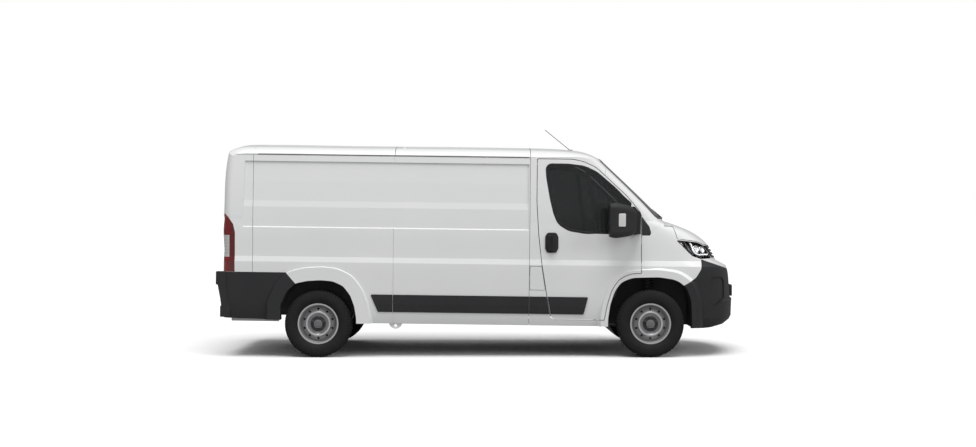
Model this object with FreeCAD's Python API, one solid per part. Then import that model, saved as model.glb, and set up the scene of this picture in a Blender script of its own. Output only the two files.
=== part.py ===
import FreeCAD, Part
import math
import os

from FreeCAD import Vector

# Panel van, medium wheelbase and low roof. Millimetres. +X to the front, +Y to the left, +Z up.
# The origin is on the ground, midway between the ends of the van and on its centre plane.
# Everything on springs is drawn level and then pitched nose-down, as the unladen van stands.

# Driving dimensions of the whole van
wheelbase = 3450.0
front_axle_x = 1772.0
rear_axle_x = front_axle_x - wheelbase
front_overhang = 970.0
rear_overhang = 1012.0
pitch_deg = 0.75
tyre_radius = 348.0
wall = 55.0
front_wall = 50.0
screen_wall = 70.0
roof_wall = 40.0

# Heights of the body's character lines, in the level frame
sill_bottom_z = 335.0
sill_bend_z = 420.0
rocker_z = 540.0
lower_side_z = 760.0
flank_z = 900.0
ledge_bottom_z = 966.0
ledge_top_z = 1022.0
nose_z = 1110.0
belt_z = 1230.0
bonnet_z = 1330.0
cowl_z = 1434.0
pillar_mid_z = 1760.0
gutter_z = 2085.0
loft_top_z = 2300.0
roof_crown_z = 2208.0

# Half widths of the body side at those heights
sill_half_width = 948.0
sill_bend_half_width = 972.0
rocker_half_width = 990.0
lower_side_half_width = 1001.0
flank_half_width = 1005.0
ledge_bottom_half_width = 1005.0
ledge_top_half_width = 988.0
nose_half_width = 985.0
belt_half_width = 982.0
bonnet_half_width = 976.0
cowl_half_width = 968.0
pillar_mid_half_width = 934.0
gutter_half_width = 885.0
loft_top_half_width = 850.0

# Centre-line places of the front, from the bumper up to the top of the windscreen
bumper_chin_x = 2612.0
bumper_bend_x = 2700.0
bumper_nose_x = 2724.0
bumper_face_x = 2710.0
bumper_upper_x = 2694.0
bumper_shelf_x = 2672.0
nose_bottom_x = 2562.0
nose_mid_x = 2520.0
nose_upper_x = 2428.0
bonnet_mid_x = 2274.0
cowl_x = 1988.0
screen_mid_x = 1648.0
screen_top_x = 1296.0
screen_end_x = 1066.0

# Rear face, leaning forward towards the roof
rear_low_x = -2680.0
rear_belt_x = -2689.0
rear_mid_x = -2688.0
rear_gutter_x = -2662.0
rear_top_x = -2600.0
rear_corner_radius = 85.0
smallest_round = 10.0

# Front corners in plan, and how each row of sections shares them: taper, bow, length, width
side_taper = 66.0
front_bow = 105.0
nose_corner_length = 400.0
nose_corner_width = 280.0
corner_fullness_share = 0.45
lower_corner_shares = [(0.94, 1.0, 0.83, 1.07), (0.94, 1.0, 0.93, 1.07), (0.94, 1.0, 0.98, 1.07),
                       (0.94, 1.0, 0.98, 1.07), (0.94, 1.0, 0.98, 1.07), (0.94, 1.0, 0.98, 1.07)]
nose_corner_shares = [(1.0, 1.0, 1.0, 1.0), (1.03, 1.0, 1.0, 0.96), (1.06, 1.0, 0.95, 0.89),
                      (1.03, 1.0, 0.83, 0.79), (0.91, 1.0, 0.6, 0.61)]
cab_corner_shares = [(0.91, 1.0, 0.6, 0.61), (0.68, 0.97, 0.33, 0.39), (0.42, 0.93, 0.28, 0.34),
                     (0.23, 0.9, 0.25, 0.32)]

# Seams between the fixed panels, and the gaps that pieces keep from each other
pillar_b_x = 560.0
cab_seam_x = 503.0
middle_seam_x = -911.0
rear_seam_x = -2390.0
rear_seam_lean_share = 0.0195
seam = 4.0
seam_depth = 7.0
roof_seam = 3.0
piece_gap = 0.8
clear_gap = 6.0
tab_gap = 0.3
fine_gap = 0.05
overrun = 250.0
smallest_piece = 100000.0
smallest_strip = 100.0

# Cut-off places beyond the body, for zones that only need to reach past it
beyond_rear_x = rear_belt_x - overrun
beyond_front_x = front_axle_x + front_overhang + overrun
beyond_side_y = flank_half_width + overrun
above_z = roof_crown_z + overrun
inside_y = 500.0

# Sizes that the outlines share: lengths ahead of the cab seam and of the axles, heights, corner size
cab_length = 1269.0
corner_size = 100.0
skin_thickness = 5.0
step_depth = 16.0


def pitched(shape):
    """The level shape turned nose-down about the origin's cross axis."""
    turned_shape = shape.copy()
    turned_shape.rotate(Vector(0, 0, 0), Vector(0, 1, 0), pitch_deg)
    return turned_shape


def world_z(x, z):
    """Height above the ground of a level place once the body is pitched."""
    lean = math.radians(pitch_deg)
    return z * math.cos(lean) - x * math.sin(lean)


def save(shape, name):
    os.makedirs("parts", exist_ok=True)
    shape.exportStep("parts/%s.step" % name)


def in_xz(y):
    return lambda a, b: Vector(a, y, b)


def in_yz(x):
    return lambda a, b: Vector(x, a, b)


def in_xy(z):
    return lambda a, b: Vector(a, b, z)


def outline(shares, origin, length, height):
    """Corners (a, b, radius) from shares of a length ahead of origin, of a height and of corner_size."""
    return [(origin + length * a, height * b, corner_size * r) for a, b, r in shares]


def front_outline(shares):
    return outline(shares, front_axle_x, front_overhang, cowl_z)


def cab_outline(shares):
    return outline(shares, cab_seam_x, cab_length, gutter_z)


def rear_outline(shares):
    return outline(shares, rear_axle_x, -rear_overhang, gutter_z)


def rounded_wire(corners, place):
    """Closed wire through corners (a, b, radius), each corner rounded by its radius."""
    points = [Vector(a, b, 0) for a, b, _ in corners]
    count = len(points)
    starts, ends, middles = [], [], []
    for i, (_, _, radius) in enumerate(corners):
        here, before, after = points[i], points[i - 1], points[(i + 1) % count]
        to_before = (before - here).normalize()
        to_after = (after - here).normalize()
        angle = to_before.getAngle(to_after)
        if radius <= 0 or angle > math.pi - 1e-4:
            starts.append(here)
            ends.append(here)
            middles.append(None)
            continue
        reach = radius / math.tan(angle / 2)
        starts.append(here + to_before * reach)
        ends.append(here + to_after * reach)
        inward = (to_before + to_after).normalize()
        centre = here + inward * (radius / math.sin(angle / 2))
        middles.append(centre - inward * radius)
    edges = []
    for i in range(count):
        if middles[i] is not None:
            arc_points = [place(p.x, p.y) for p in (starts[i], middles[i], ends[i])]
            edges.append(Part.Arc(*arc_points).toShape())
        nxt = (i + 1) % count
        if (starts[nxt] - ends[i]).Length > 1e-6:
            run = [place(ends[i].x, ends[i].y), place(starts[nxt].x, starts[nxt].y)]
            edges.append(Part.LineSegment(*run).toShape())
    return Part.Wire(edges)


def prism_y(corners, y_from, y_to):
    """Side-view outline extruded across the van."""
    face = Part.Face(rounded_wire(corners, in_xz(y_from)))
    return face.extrude(Vector(0, y_to - y_from, 0))


def prism_x(corners, x_from, x_to):
    """Front-view outline extruded along the van."""
    face = Part.Face(rounded_wire(corners, in_yz(x_from)))
    return face.extrude(Vector(x_to - x_from, 0, 0))


def prism_z(corners, z_from, z_to):
    """Plan outline extruded upwards."""
    face = Part.Face(rounded_wire(corners, in_xy(z_from)))
    return face.extrude(Vector(0, 0, z_to - z_from))


def grown(corners, gap, y_from, y_to):
    """Side-view prism whose outline stands gap outside the corners."""
    wire = rounded_wire(corners, in_xz(y_from)).makeOffset2D(gap)
    return Part.Face(wire).extrude(Vector(0, y_to - y_from, 0))


def block(x0, x1, y0, y1, z0, z1):
    return Part.makeBox(x1 - x0, y1 - y0, z1 - z0, Vector(x0, y0, z0))


def slab(x0, x1, z0, z1):
    """Block right across the van."""
    return block(x0, x1, -beyond_side_y, beyond_side_y, z0, z1)


def wide(corners):
    """Side-view zone right across the van."""
    return prism_y(corners, -beyond_side_y, beyond_side_y)


def wide_grown(corners, gap):
    return grown(corners, gap, -beyond_side_y, beyond_side_y)


def right_side(corners):
    """Side-view zone on the right side of the van only."""
    return prism_y(corners, -beyond_side_y, -inside_y)


def moved(shape, x, y, z):
    copy = shape.copy()
    copy.translate(Vector(x, y, z))
    return copy


def mirrored(shape):
    return shape.mirror(Vector(0, 0, 0), Vector(0, 1, 0))


def with_mirrored(shapes):
    return shapes + [mirrored(s) for s in shapes]


def both_sides(shape):
    return Part.makeCompound([shape, mirrored(shape)])


def solids(shape, smallest=smallest_piece):
    """The shape's solids without the slivers that cutting leaves."""
    kept = [s for s in shape.Solids if s.Volume > smallest]
    return kept[0] if len(kept) == 1 else Part.makeCompound(kept)


def rod(start, end, radius):
    return Part.makeCylinder(radius, (end - start).Length, start, end - start)


def pipe(points, radius, bend):
    """Round bar along points with bends."""
    edges = []
    last = points[0]
    for before, here, after in zip(points, points[1:], points[2:]):
        to_before = (before - here).normalize()
        to_after = (after - here).normalize()
        angle = to_before.getAngle(to_after)
        reach = bend / math.tan(angle / 2)
        centre = here + (to_before + to_after).normalize() * (bend / math.sin(angle / 2))
        middle = centre + (here - centre).normalize() * bend
        first = here + to_before * reach
        second = here + to_after * reach
        edges.append(Part.LineSegment(last, first).toShape())
        edges.append(Part.Arc(first, middle, second).toShape())
        last = second
    edges.append(Part.LineSegment(last, points[-1]).toShape())
    disc = Part.Wire([Part.makeCircle(radius, points[0], points[1] - points[0])])
    return Part.Wire(edges).makePipeShell([disc], True, True)


# Body skin: plan sections lofted up the van

def plan_section(z, half_width, front_x, rear_x, corner_shares, inset, front_inset):
    """Plan outline of the van at height z: straight sides, a gentle taper ahead of the door pillar,
    a rounded front corner and a bowed front. The insets move the sides and the ends inwards."""
    taper_share, bow_share, length_share, width_share = corner_shares
    taper = side_taper * taper_share
    bulge = front_bow * bow_share
    w = half_width - inset
    front = front_x - front_inset
    rear = rear_x + inset
    radius = max(rear_corner_radius - inset, smallest_round)
    start = Vector(front - bulge - nose_corner_length * length_share, -(w - taper), z)
    end = Vector(front - bulge, -(w - taper - nose_corner_width * width_share), z)
    chord = -end.y
    bow = (chord * chord + bulge * bulge) / (2 * bulge)
    slope = math.asin(chord / bow)
    end_way = Vector(math.sin(slope), math.cos(slope), 0)
    knee = Vector((pillar_b_x + start.x) / 2, -w, z)
    start_way = (start - knee).normalize()
    reach = (end - start).Length * corner_fullness_share
    quarter = math.sqrt(0.5)
    corner_points = [Vector(rear, -(w - radius), z),
                     Vector(rear + radius * (1 - quarter), -(w - radius * (1 - quarter)), z),
                     Vector(rear + radius, -w, z)]

    def bezier(poles):
        curve = Part.BezierCurve()
        curve.setPoles(poles)
        return curve.toShape()

    def flip(v):
        return Vector(v.x, -v.y, v.z)

    def half(side):
        pillar = Vector(pillar_b_x, -w, z)
        corner = [start, start + start_way * reach, end - end_way * reach, end]
        return [Part.Arc(*[side(p) for p in corner_points]).toShape(),
                Part.LineSegment(side(corner_points[2]), side(pillar)).toShape(),
                bezier([side(p) for p in (pillar, knee, start)]),
                bezier([side(p) for p in corner])]

    right = half(lambda v: v)
    left = half(flip)
    bow_edge = Part.Arc(end, Vector(front, 0, z), flip(end)).toShape()
    back = Part.LineSegment(flip(corner_points[0]), corner_points[0]).toShape()
    return Part.Wire(right + [bow_edge] + left[::-1] + [back])


def sections(rows, shares, inset, front_inset):
    return [plan_section(*row, share, inset, front_inset) for row, share in zip(rows, shares)]


def lower_sections(inset, front_inset):
    rows = [(sill_bottom_z, sill_half_width, bumper_chin_x, rear_low_x),
            (sill_bend_z, sill_bend_half_width, bumper_bend_x, rear_low_x),
            (rocker_z, rocker_half_width, bumper_nose_x, rear_low_x),
            (lower_side_z, lower_side_half_width, bumper_face_x, rear_low_x),
            (flank_z, flank_half_width, bumper_upper_x, rear_low_x),
            (ledge_bottom_z, ledge_bottom_half_width, bumper_shelf_x, rear_low_x)]
    return sections(rows, lower_corner_shares, inset, front_inset)


def nose_sections(inset, front_inset):
    rows = [(ledge_top_z, ledge_top_half_width, nose_bottom_x, rear_low_x),
            (nose_z, nose_half_width, nose_mid_x, rear_low_x),
            (belt_z, belt_half_width, nose_upper_x, rear_belt_x),
            (bonnet_z, bonnet_half_width, bonnet_mid_x, rear_belt_x),
            (cowl_z, cowl_half_width, cowl_x, rear_belt_x)]
    return sections(rows, nose_corner_shares, inset, front_inset)


def cab_sections(inset, front_inset):
    rows = [(cowl_z, cowl_half_width, cowl_x, rear_belt_x),
            (pillar_mid_z, pillar_mid_half_width, screen_mid_x, rear_mid_x),
            (gutter_z, gutter_half_width, screen_top_x, rear_gutter_x),
            (loft_top_z, loft_top_half_width, screen_end_x, rear_top_x)]
    return sections(rows, cab_corner_shares, inset, front_inset)


# Roof surface: its fall below the crown along the van and across it
roof_length = 4600.0
roof_fall = 400.0
roof_half_span = 1000.0
roof_rear_x = -2900.0
roof_along_shares = [(0.0, 0.825), (0.0326, 0.3), (0.0543, 0.115), (0.0739, 0.03), (0.1043, 0.0), (0.3043, 0.0),
                     (0.5217, -0.005), (0.6957, -0.004), (0.7826, 0.006), (0.837, 0.0375), (0.8724, 0.11),
                     (0.8939, 0.21), (0.9157, 0.348), (0.9457, 0.55), (1.0109, 1.0)]
roof_across_shares = [(-1.0, 1.0), (-0.925, 0.525), (-0.885, 0.295), (-0.835, 0.175), (-0.7, 0.095),
                      (-0.4, 0.0275), (0.0, 0.0)]


def roof_space(drop):
    """Everything over the roof skin, lowered by drop."""
    across = roof_across_shares + [(-a, b) for a, b in roof_across_shares[-2::-1]]
    crown = roof_crown_z - drop
    grid = [[Vector(roof_rear_x + roof_length * x, roof_half_span * y, crown - roof_fall * (fall + low))
             for y, low in across] for x, fall in roof_along_shares]
    surface = Part.BSplineSurface()
    surface.interpolate(grid)
    return surface.toShape().extrude(Vector(0, 0, loft_top_z - roof_crown_z + 2 * roof_fall))


def envelope(inset, front_inset, cab_front_inset, drop, deeper=0.0):
    """Solid bounded by the van's skin moved inwards by the insets."""
    low = lower_sections(inset, front_inset)
    nose = nose_sections(inset, front_inset)
    cab = cab_sections(inset, cab_front_inset)
    pieces = [Part.makeLoft(low, True, False), Part.makeLoft([low[-1], nose[0]], True, True),
              Part.makeLoft(nose, True, False)]
    if deeper:
        pieces.append(Part.makeLoft([moved(low[0], 0, 0, -deeper), low[0]], True, True))
    upper = Part.makeLoft(cab, True, False).cut(roof_space(drop))
    return upper.fuse(pieces).removeSplitter()


# Wheel arches in the level frame, round each axle, from the foot behind the wheel to the foot ahead
front_arch_reach = 450.0
front_arch_crown_z = 855.0
rear_arch_reach = 395.0
rear_arch_crown_z = 780.0
front_arch_shares = [(-1.0, -0.14, 0), (-0.9911, 0.4865, 3), (-0.9467, 0.655, 3), (-0.8489, 0.8187, 2.4),
                     (-0.7044, 0.9298, 1.6), (-0.4489, 0.9883, 2.5), (0.1733, 1.0, 4), (0.5956, 0.9684, 2.5),
                     (0.8178, 0.8749, 1.5), (0.9244, 0.7135, 2.5), (0.9511, 0.4351, 3), (0.9511, -0.14, 0)]
rear_arch_shares = [(-0.9975, -0.154, 0), (-0.9975, 0.6667, 1), (-0.8405, 0.8462, 1.5), (-0.6253, 0.9513, 1.2),
                    (-0.3089, 0.9872, 3), (0.0456, 1.0, 3), (0.3747, 0.9872, 2), (0.6405, 0.9256, 1.2),
                    (0.8253, 0.8077, 2), (0.9367, 0.6667, 3), (0.9949, 0.5, 3), (1.008, -0.154, 0)]
front_arch = outline(front_arch_shares, front_axle_x, front_arch_reach, front_arch_crown_z)
rear_arch = outline(rear_arch_shares, rear_axle_x, rear_arch_reach, rear_arch_crown_z)
arch_inner_y = -575.0
front_flare_half_width = 992.0
rear_flare_half_width = 1019.0
flare_depth = 60.0
front_flare_widths = (120.0, 75.0)
rear_flare_widths = (165.0, 135.0)
liner_thickness = 15.0
rear_box_inner_y = -711.0


def flare(corners, half_width, widths):
    """Raised band round a wheel arch, sloping out from its foot to its crest."""
    foot, crest = widths
    rings = [rounded_wire(corners, in_xz(y)).makeOffset2D(growth)
             for growth, y in ((foot, flare_depth - half_width), (crest, -half_width))]
    band = Part.makeLoft(rings, True, True)
    return band.common(block(beyond_rear_x, beyond_front_x, -beyond_side_y, 0, sill_bottom_z, cowl_z))


def body_shapes():
    """The skin's outer solid, the same with its arch flares, and the space inside the walls."""
    smooth = envelope(0.0, 0.0, 0.0, 0.0)
    right = [flare(front_arch, front_flare_half_width, front_flare_widths),
             flare(rear_arch, rear_flare_half_width, rear_flare_widths)]
    outer = smooth.fuse(with_mirrored(right))
    inner = envelope(wall, front_wall, screen_wall, roof_wall, overrun)
    return smooth, outer, inner


def arches_cut(shell):
    right = [prism_y(a, -beyond_side_y, arch_inner_y) for a in (front_arch, rear_arch)]
    return shell.cut(with_mirrored(right))


# Body side seen in section: heights and half widths, for grooves and mouldings that follow it.
# The half widths between the cowl and the gutter are read from the lofted skin.
recess_foot_z = 1535.0
recess_foot_half_width = 959.7
recess_shelf_z = 1600.0
recess_shelf_half_width = 953.2
recess_middle_z = 1800.0
recess_middle_half_width = 928.6
recess_top_z = 2012.0
recess_top_half_width = 896.7
side_rows = [(sill_bottom_z, sill_half_width), (sill_bend_z, sill_bend_half_width), (rocker_z, rocker_half_width),
             (lower_side_z, lower_side_half_width), (flank_z, flank_half_width),
             (ledge_bottom_z, ledge_bottom_half_width), (ledge_top_z, ledge_top_half_width),
             (belt_z, belt_half_width), (cowl_z, cowl_half_width), (recess_foot_z, recess_foot_half_width),
             (recess_shelf_z, recess_shelf_half_width), (recess_middle_z, recess_middle_half_width),
             (recess_top_z, recess_top_half_width), (gutter_z, gutter_half_width)]


def side_at(z):
    """Half width of the straight body side at height z, between the named rows."""
    for (z0, w0), (z1, w1) in zip(side_rows, side_rows[1:]):
        if z0 <= z <= z1:
            return w0 + (w1 - w0) * (z - z0) / (z1 - z0)
    return side_rows[-1][1]


def outside_skin(depths, x_from, x_to):
    """Everything outside the right side between x_from and x_to, sunk into it by a depth at each height."""
    face = [(-beyond_side_y, depths[0][0], 0)]
    for (z0, d0), (z1, d1) in zip(depths, depths[1:]):
        face.append((-(side_at(z0) - d0), z0, 0))
        for z, w in side_rows:
            if z0 < z < z1:
                face.append((-(w - d0 - (d1 - d0) * (z - z0) / (z1 - z0)), z, 0))
    last_z, last_depth = depths[-1]
    face += [(-(side_at(last_z) - last_depth), last_z, 0), (-beyond_side_y, last_z, 0)]
    return prism_x(face, x_from, x_to)


# Front door: panel outline, window, steps and hinge leaves
door_outline_shares = [(0.0591, 0.9918, 0.12), (0.0583, 0.777, 9), (0.0764, 0.6091, 9), (0.1048, 0.4652, 9),
                       (0.1552, 0.283, 7), (0.1852, 0.1942, 0.45), (0.6147, 0.1942, 0.1), (0.6375, 0.2686, 3),
                       (0.6753, 0.3463, 2.4), (0.7384, 0.401, 2), (0.829, 0.4269, 2.5), (0.9149, 0.4293, 0.04),
                       (0.9149, 0.7266, 1.2), (0.7975, 0.8106, 3), (0.5429, 0.9525, 2.6), (0.4389, 0.9808, 2.6),
                       (0.3522, 0.9918, 3)]
door_window_shares = [(0.1269, 0.9688, 0.6), (0.1332, 0.9017, 5), (0.1647, 0.7938, 9), (0.1946, 0.7194, 4),
                      (0.2301, 0.6691, 1.6), (0.3168, 0.6355, 2), (0.4547, 0.6225, 4), (0.8329, 0.6187, 0.08),
                      (0.8329, 0.777, 0.3), (0.6911, 0.8585, 3), (0.5453, 0.9329, 3), (0.4389, 0.9602, 2),
                      (0.3128, 0.9688, 4)]
door_outline = cab_outline(door_outline_shares)
door_window = cab_outline(door_window_shares)
door_front_x = door_outline[-6][0]
door_edge_gap = 7.0
door_step_back = 6.0
hinge_leaf_length = 72.5
door_hinge_z = (970.0, 1225.0)
door_hinge_height = 70.0

# Bonnet, lamps, grille, trim and bumper zones seen from the side
bonnet_side_shares = [(0.0804, 1.046, 0), (0.0804, 0.9623, 0), (0.2392, 0.9623, 0), (0.2804, 0.8717, 0.25),
                      (0.4948, 0.855, 0.6), (0.5753, 0.834, 0.3), (0.5907, 0.8285, 0), (1.06, 0.8285, 0),
                      (1.06, 1.046, 0)]
headlamp_side_shares = [(0.266, 0.8661, 0.08), (0.4979, 0.8501, 0.6), (0.5794, 0.8285, 0.2), (0.6887, 0.7329, 0.12),
                        (0.5443, 0.7294, 0.2), (0.4412, 0.7517, 0.6), (0.3423, 0.8173, 0.8)]
grille_side_shares = [(0.6938, 0.7336, 0), (0.5866, 0.8243, 0), (1.06, 0.8243, 0), (1.06, 0.7336, 0)]
nose_trim_side_shares = [(0.5536, 0.7273, 0), (0.5536, 0.7301, 0), (1.06, 0.7301, 0), (1.06, 0.6206, 0),
                         (0.9567, 0.6409, 0)]
bumper_side_shares = [(0.3485, 0.537, 0), (0.4794, 0.59, 0.9), (0.5402, 0.6541, 1.2), (0.5495, 0.7252, 0),
                      (0.9567, 0.6374, 0), (1.111, 0.6067, 0), (1.111, 0.0697, 0), (0.3485, 0.0697, 0)]
pillar_zone_shares = [(-0.1062, 0.8961, 0), (-0.0175, 0.8961, 0), (0.0155, 0.9393, 0.2), (0.1443, 0.9958, 0),
                      (0.1443, 0.9637, 0), (0.3381, 0.9637, 0), (0.3381, 1.604, 0), (-0.4948, 1.604, 0),
                      (-0.4948, 1.116, 0), (-0.1062, 1.046, 0)]
pillar_cover_shares = [(-0.1031, 0.8961, 0.04), (-0.0155, 0.8961, 0.14), (-0.0021, 0.9149, 0.3),
                       (-0.0206, 0.9596, 0.3), (-0.1031, 1.035, 0.04)]
bonnet_side = front_outline(bonnet_side_shares)
headlamp_side = front_outline(headlamp_side_shares)
grille_side = front_outline(grille_side_shares)
nose_trim_side = front_outline(nose_trim_side_shares)
bumper_side = front_outline(bumper_side_shares)
pillar_zone = front_outline(pillar_zone_shares)
pillar_cover_side = front_outline(pillar_cover_shares)
pillar_cover_inner_y = -700.0
headlamp_inner_y = -300.0
grille_half_width = 600.0
grille_rear_x = 2300.0
cab_side_front_x = 1290.0

# Bonnet's edge in plan: shares of the front overhang ahead of the axle and of the body's half width
bonnet_plan_shares = [(0.2577, 0.0), (0.2423, -0.2488), (0.1969, -0.4975), (0.1237, -0.7343), (0.2196, -0.8308),
                      (0.2763, -0.995), (0.9567, -0.995)]
bonnet_low_z = 1000.0
bonnet_hinge_y = 560.0
bonnet_leaf_half_width = 25.0
bonnet_leaf_from_x = 1900.0

# Grille bars and the bumper's intake
grille_slot_count = 3
grille_slot_half_width = 540.0
grille_slot_z = 1064.0
grille_slot_height = 22.0
grille_slot_pitch = 34.0
grille_slot_depth = 24.0
intake_slot_count = 4
intake_half_width = 390.0
intake_z = 404.0
intake_slot_height = 26.0
intake_slot_pitch = 44.0
intake_rear_x = 2480.0

# Lip that stands out of the bumper's foot: height, front and half width at each section
lip_shares = [(0.2218, 0.8454, 0.934), (0.2406, 0.9237, 0.958), (0.2734, 0.9773, 0.976), (0.2999, 0.9959, 0.984),
              (0.4226, 1.0, 0.993), (0.4498, 0.96, 0.982)]
lip_corner_shares = (0.94, 1.0, 0.94, 1.07)
lip_rear_x = 2206.0
lip_thickness = 34.0
corner_guard_shares = [(0.6423, 0.5997, 0.3), (0.8124, 0.5997, 0.6), (0.8124, 0.4463, 0.4), (0.7196, 0.3905, 0.4),
                       (0.6423, 0.3905, 0.4)]
corner_guard_depth = 7.0

# Windscreen opening seen from the front: shares of the cowl's half width and of the gutter's height
windscreen_shares = [(-0.8326, 0.6983, 0.6), (0.8326, 0.6983, 0.6), (0.7355, 0.9928, 0.6), (-0.7355, 0.9928, 0.6)]
windscreen = outline(windscreen_shares, 0.0, cowl_half_width, gutter_z)
windscreen_from_x = 1150.0
windscreen_to_x = 2150.0

# Fuel flap on the right, behind the front door
flap_shares = [(0.0071, 0.4556, 0.12), (0.0977, 0.4556, 0.12), (0.1284, 0.34, 0.12), (0.0071, 0.34, 0.12)]
flap_outline = cab_outline(flap_shares)
flap_pocket_reach = 90.0
flap_hinge_z = 830.0
flap_hinge_height = 30.0


def bonnet_zone(gap):
    """Space of the bonnet, kept gap inside its opening."""
    half = [(front_axle_x + front_overhang * a, flank_half_width * b, 0) for a, b in bonnet_plan_shares]
    plan = half + [(x, -y, r) for x, y, r in half[:0:-1]]
    wire = rounded_wire(plan, in_xy(bonnet_low_z))
    side = wide(bonnet_side)
    if gap:
        wire = wire.makeOffset2D(-gap)
        side = wide_grown(bonnet_side, -gap)
    top = Part.Face(wire).extrude(Vector(0, 0, above_z - bonnet_low_z))
    return top.common(side)


def flap_pocket():
    """Rebate behind the fuel flap, open towards the door."""
    rear, front = flap_outline[0][0] - clear_gap, flap_outline[1][0] + flap_pocket_reach
    low, high = flap_outline[2][1] - clear_gap, flap_outline[0][1] + clear_gap
    round_corner = flap_outline[0][2]
    return right_side([(rear, high, round_corner), (front, high, 0), (front, low, 0), (rear, low, round_corner)])


def hinge_tabs(shell, step_skin):
    """Hinge leaves in the gaps beside the front door, the bonnet and the fuel flap."""
    inner = shell.common(step_skin)
    step = grown(door_outline, tab_gap - door_step_back, -beyond_side_y, -inside_y)
    tabs = {"door": [], "bonnet": [], "flap": []}
    leaf_end = door_front_x + door_edge_gap + clear_gap / 4
    for middle in door_hinge_z:
        half = door_hinge_height / 2
        leaf = block(leaf_end - hinge_leaf_length, leaf_end, -beyond_side_y, -inside_y, middle - half, middle + half)
        tabs["door"].append(inner.common(leaf).cut(step))
    rear_edge = bonnet_zone(0.0).cut(bonnet_zone(clear_gap - tab_gap))
    low, high = bonnet_side[2][1], cowl_z
    for side in (-1, 1):
        middle = side * bonnet_hinge_y
        y0, y1 = middle - bonnet_leaf_half_width, middle + bonnet_leaf_half_width
        place = block(bonnet_leaf_from_x, bonnet_leaf_from_x + corner_size, y0, y1, low, high)
        tabs["bonnet"].append(shell.common(rear_edge).common(place))
    half = flap_hinge_height / 2
    flap_leaf = block(cab_seam_x + seam / 2, flap_outline[0][0] - tab_gap, -beyond_side_y, -inside_y,
                      flap_hinge_z - half, flap_hinge_z + half)
    tabs["flap"].append(shell.common(flap_leaf))
    return tabs


def bumper_lip():
    """Blade round the foot of the front bumper, its back inside the bumper's wall."""
    rows = [(cowl_z * z, rocker_half_width * w, front_axle_x + front_overhang * x, rear_low_x)
            for z, x, w in lip_shares]
    shares = [lip_corner_shares] * len(rows)
    outside = sections(rows, shares, 0.0, 0.0)
    inside = sections(rows, shares, lip_thickness, lip_thickness)
    inside = [moved(inside[0], 0, 0, -wall)] + inside + [moved(inside[-1], 0, 0, wall)]
    lip = Part.makeLoft(outside, True, True).cut(Part.makeLoft(inside, True, True))
    return lip.common(slab(lip_rear_x, beyond_front_x, 0, cowl_z))


def front_bumper(front, smooth):
    """Bumper with its lip, the intake's slots and a sunk guard panel on each corner."""
    bumper = front.common(wide(bumper_side)).fuse(bumper_lip())
    slots = []
    for k in range(intake_slot_count):
        low = intake_z + intake_slot_pitch * k
        slots.append(block(intake_rear_x, beyond_front_x, -intake_half_width, intake_half_width,
                           low, low + intake_slot_height))
    guard = right_side(front_outline(corner_guard_shares))
    guard = guard.cut(moved(smooth, -corner_guard_depth, corner_guard_depth, 0))
    return solids(bumper.cut(slots + with_mirrored([guard])))


def grille(front, smooth):
    """Panel between the headlamps with sunk slots between its bars."""
    panel = front.common(wide(grille_side))
    panel = panel.common(block(grille_rear_x, beyond_front_x, -grille_half_width, grille_half_width, 0, above_z))
    slots = []
    for k in range(grille_slot_count):
        low = grille_slot_z + grille_slot_pitch * k
        slots.append(block(grille_rear_x, beyond_front_x, -grille_slot_half_width, grille_slot_half_width,
                           low, low + grille_slot_height))
    return solids(panel.cut(Part.makeCompound(slots).cut(moved(smooth, -grille_slot_depth, 0, 0))))


def front_door(shell, step_skin):
    door = shell.common(right_side(door_outline))
    edge = right_side(door_outline).cut(grown(door_outline, -door_step_back, -beyond_side_y, -inside_y))
    return solids(door.cut([edge.common(step_skin), right_side(door_window)]))


def front_body(shell, smooth, step_skin, glass_skin):
    """Pieces ahead of the cab seam: doors, wings, bonnet, lamps, bumper and frames."""
    parts = {}
    tabs = hinge_tabs(shell, step_skin)
    front = shell.common(slab(cab_seam_x + seam / 2, beyond_front_x, 0, gutter_z))
    hole = prism_x(windscreen, windscreen_from_x, windscreen_to_x)
    parts["windscreen"] = solids(glass_skin.common(hole))
    front = front.cut([hole, wide_grown(door_outline, door_edge_gap)])
    parts["bonnet"] = solids(shell.common(bonnet_zone(clear_gap)))
    parts["grille"] = grille(front, smooth)
    lamp = prism_y(headlamp_side, -beyond_side_y, headlamp_inner_y)
    parts["headlamp_right"] = solids(front.common(lamp))
    parts["nose_trim"] = solids(front.common(wide(nose_trim_side)).cut(wide_grown(headlamp_side, piece_gap)))
    parts["front_bumper"] = front_bumper(front, smooth)
    bonnet_space = bonnet_zone(0.0)
    cover = prism_y(pillar_cover_side, -beyond_side_y, pillar_cover_inner_y)
    frame = front.common(wide(pillar_zone)).cut([bonnet_space] + with_mirrored([cover]))
    sills = front.common(slab(0, cab_side_front_x, 0, above_z)).cut(flap_pocket().cut(step_skin))
    parts["fuel_flap"] = solids(glass_skin.common(right_side(flap_outline)))
    parts["cab_frame"] = solids(Part.makeCompound([frame.fuse(tabs["bonnet"]), sills.fuse(tabs["flap"])]))
    parts["pillar_cover_right"] = solids(front.common(cover))
    rest = front.common(block(cab_side_front_x + piece_gap, beyond_front_x, -beyond_side_y, 0, 0, gutter_z))
    zones = (pillar_zone, pillar_cover_side, headlamp_side, grille_side, nose_trim_side, bumper_side)
    away = [bonnet_space] + [wide_grown(zone, piece_gap) for zone in zones]
    parts["wing_right"] = solids(rest.cut(away).fuse(tabs["door"]))
    parts["door_front_right"] = front_door(shell, step_skin)
    parts["door_glass_right"] = solids(glass_skin.common(right_side(door_window)))
    return parts


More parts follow.
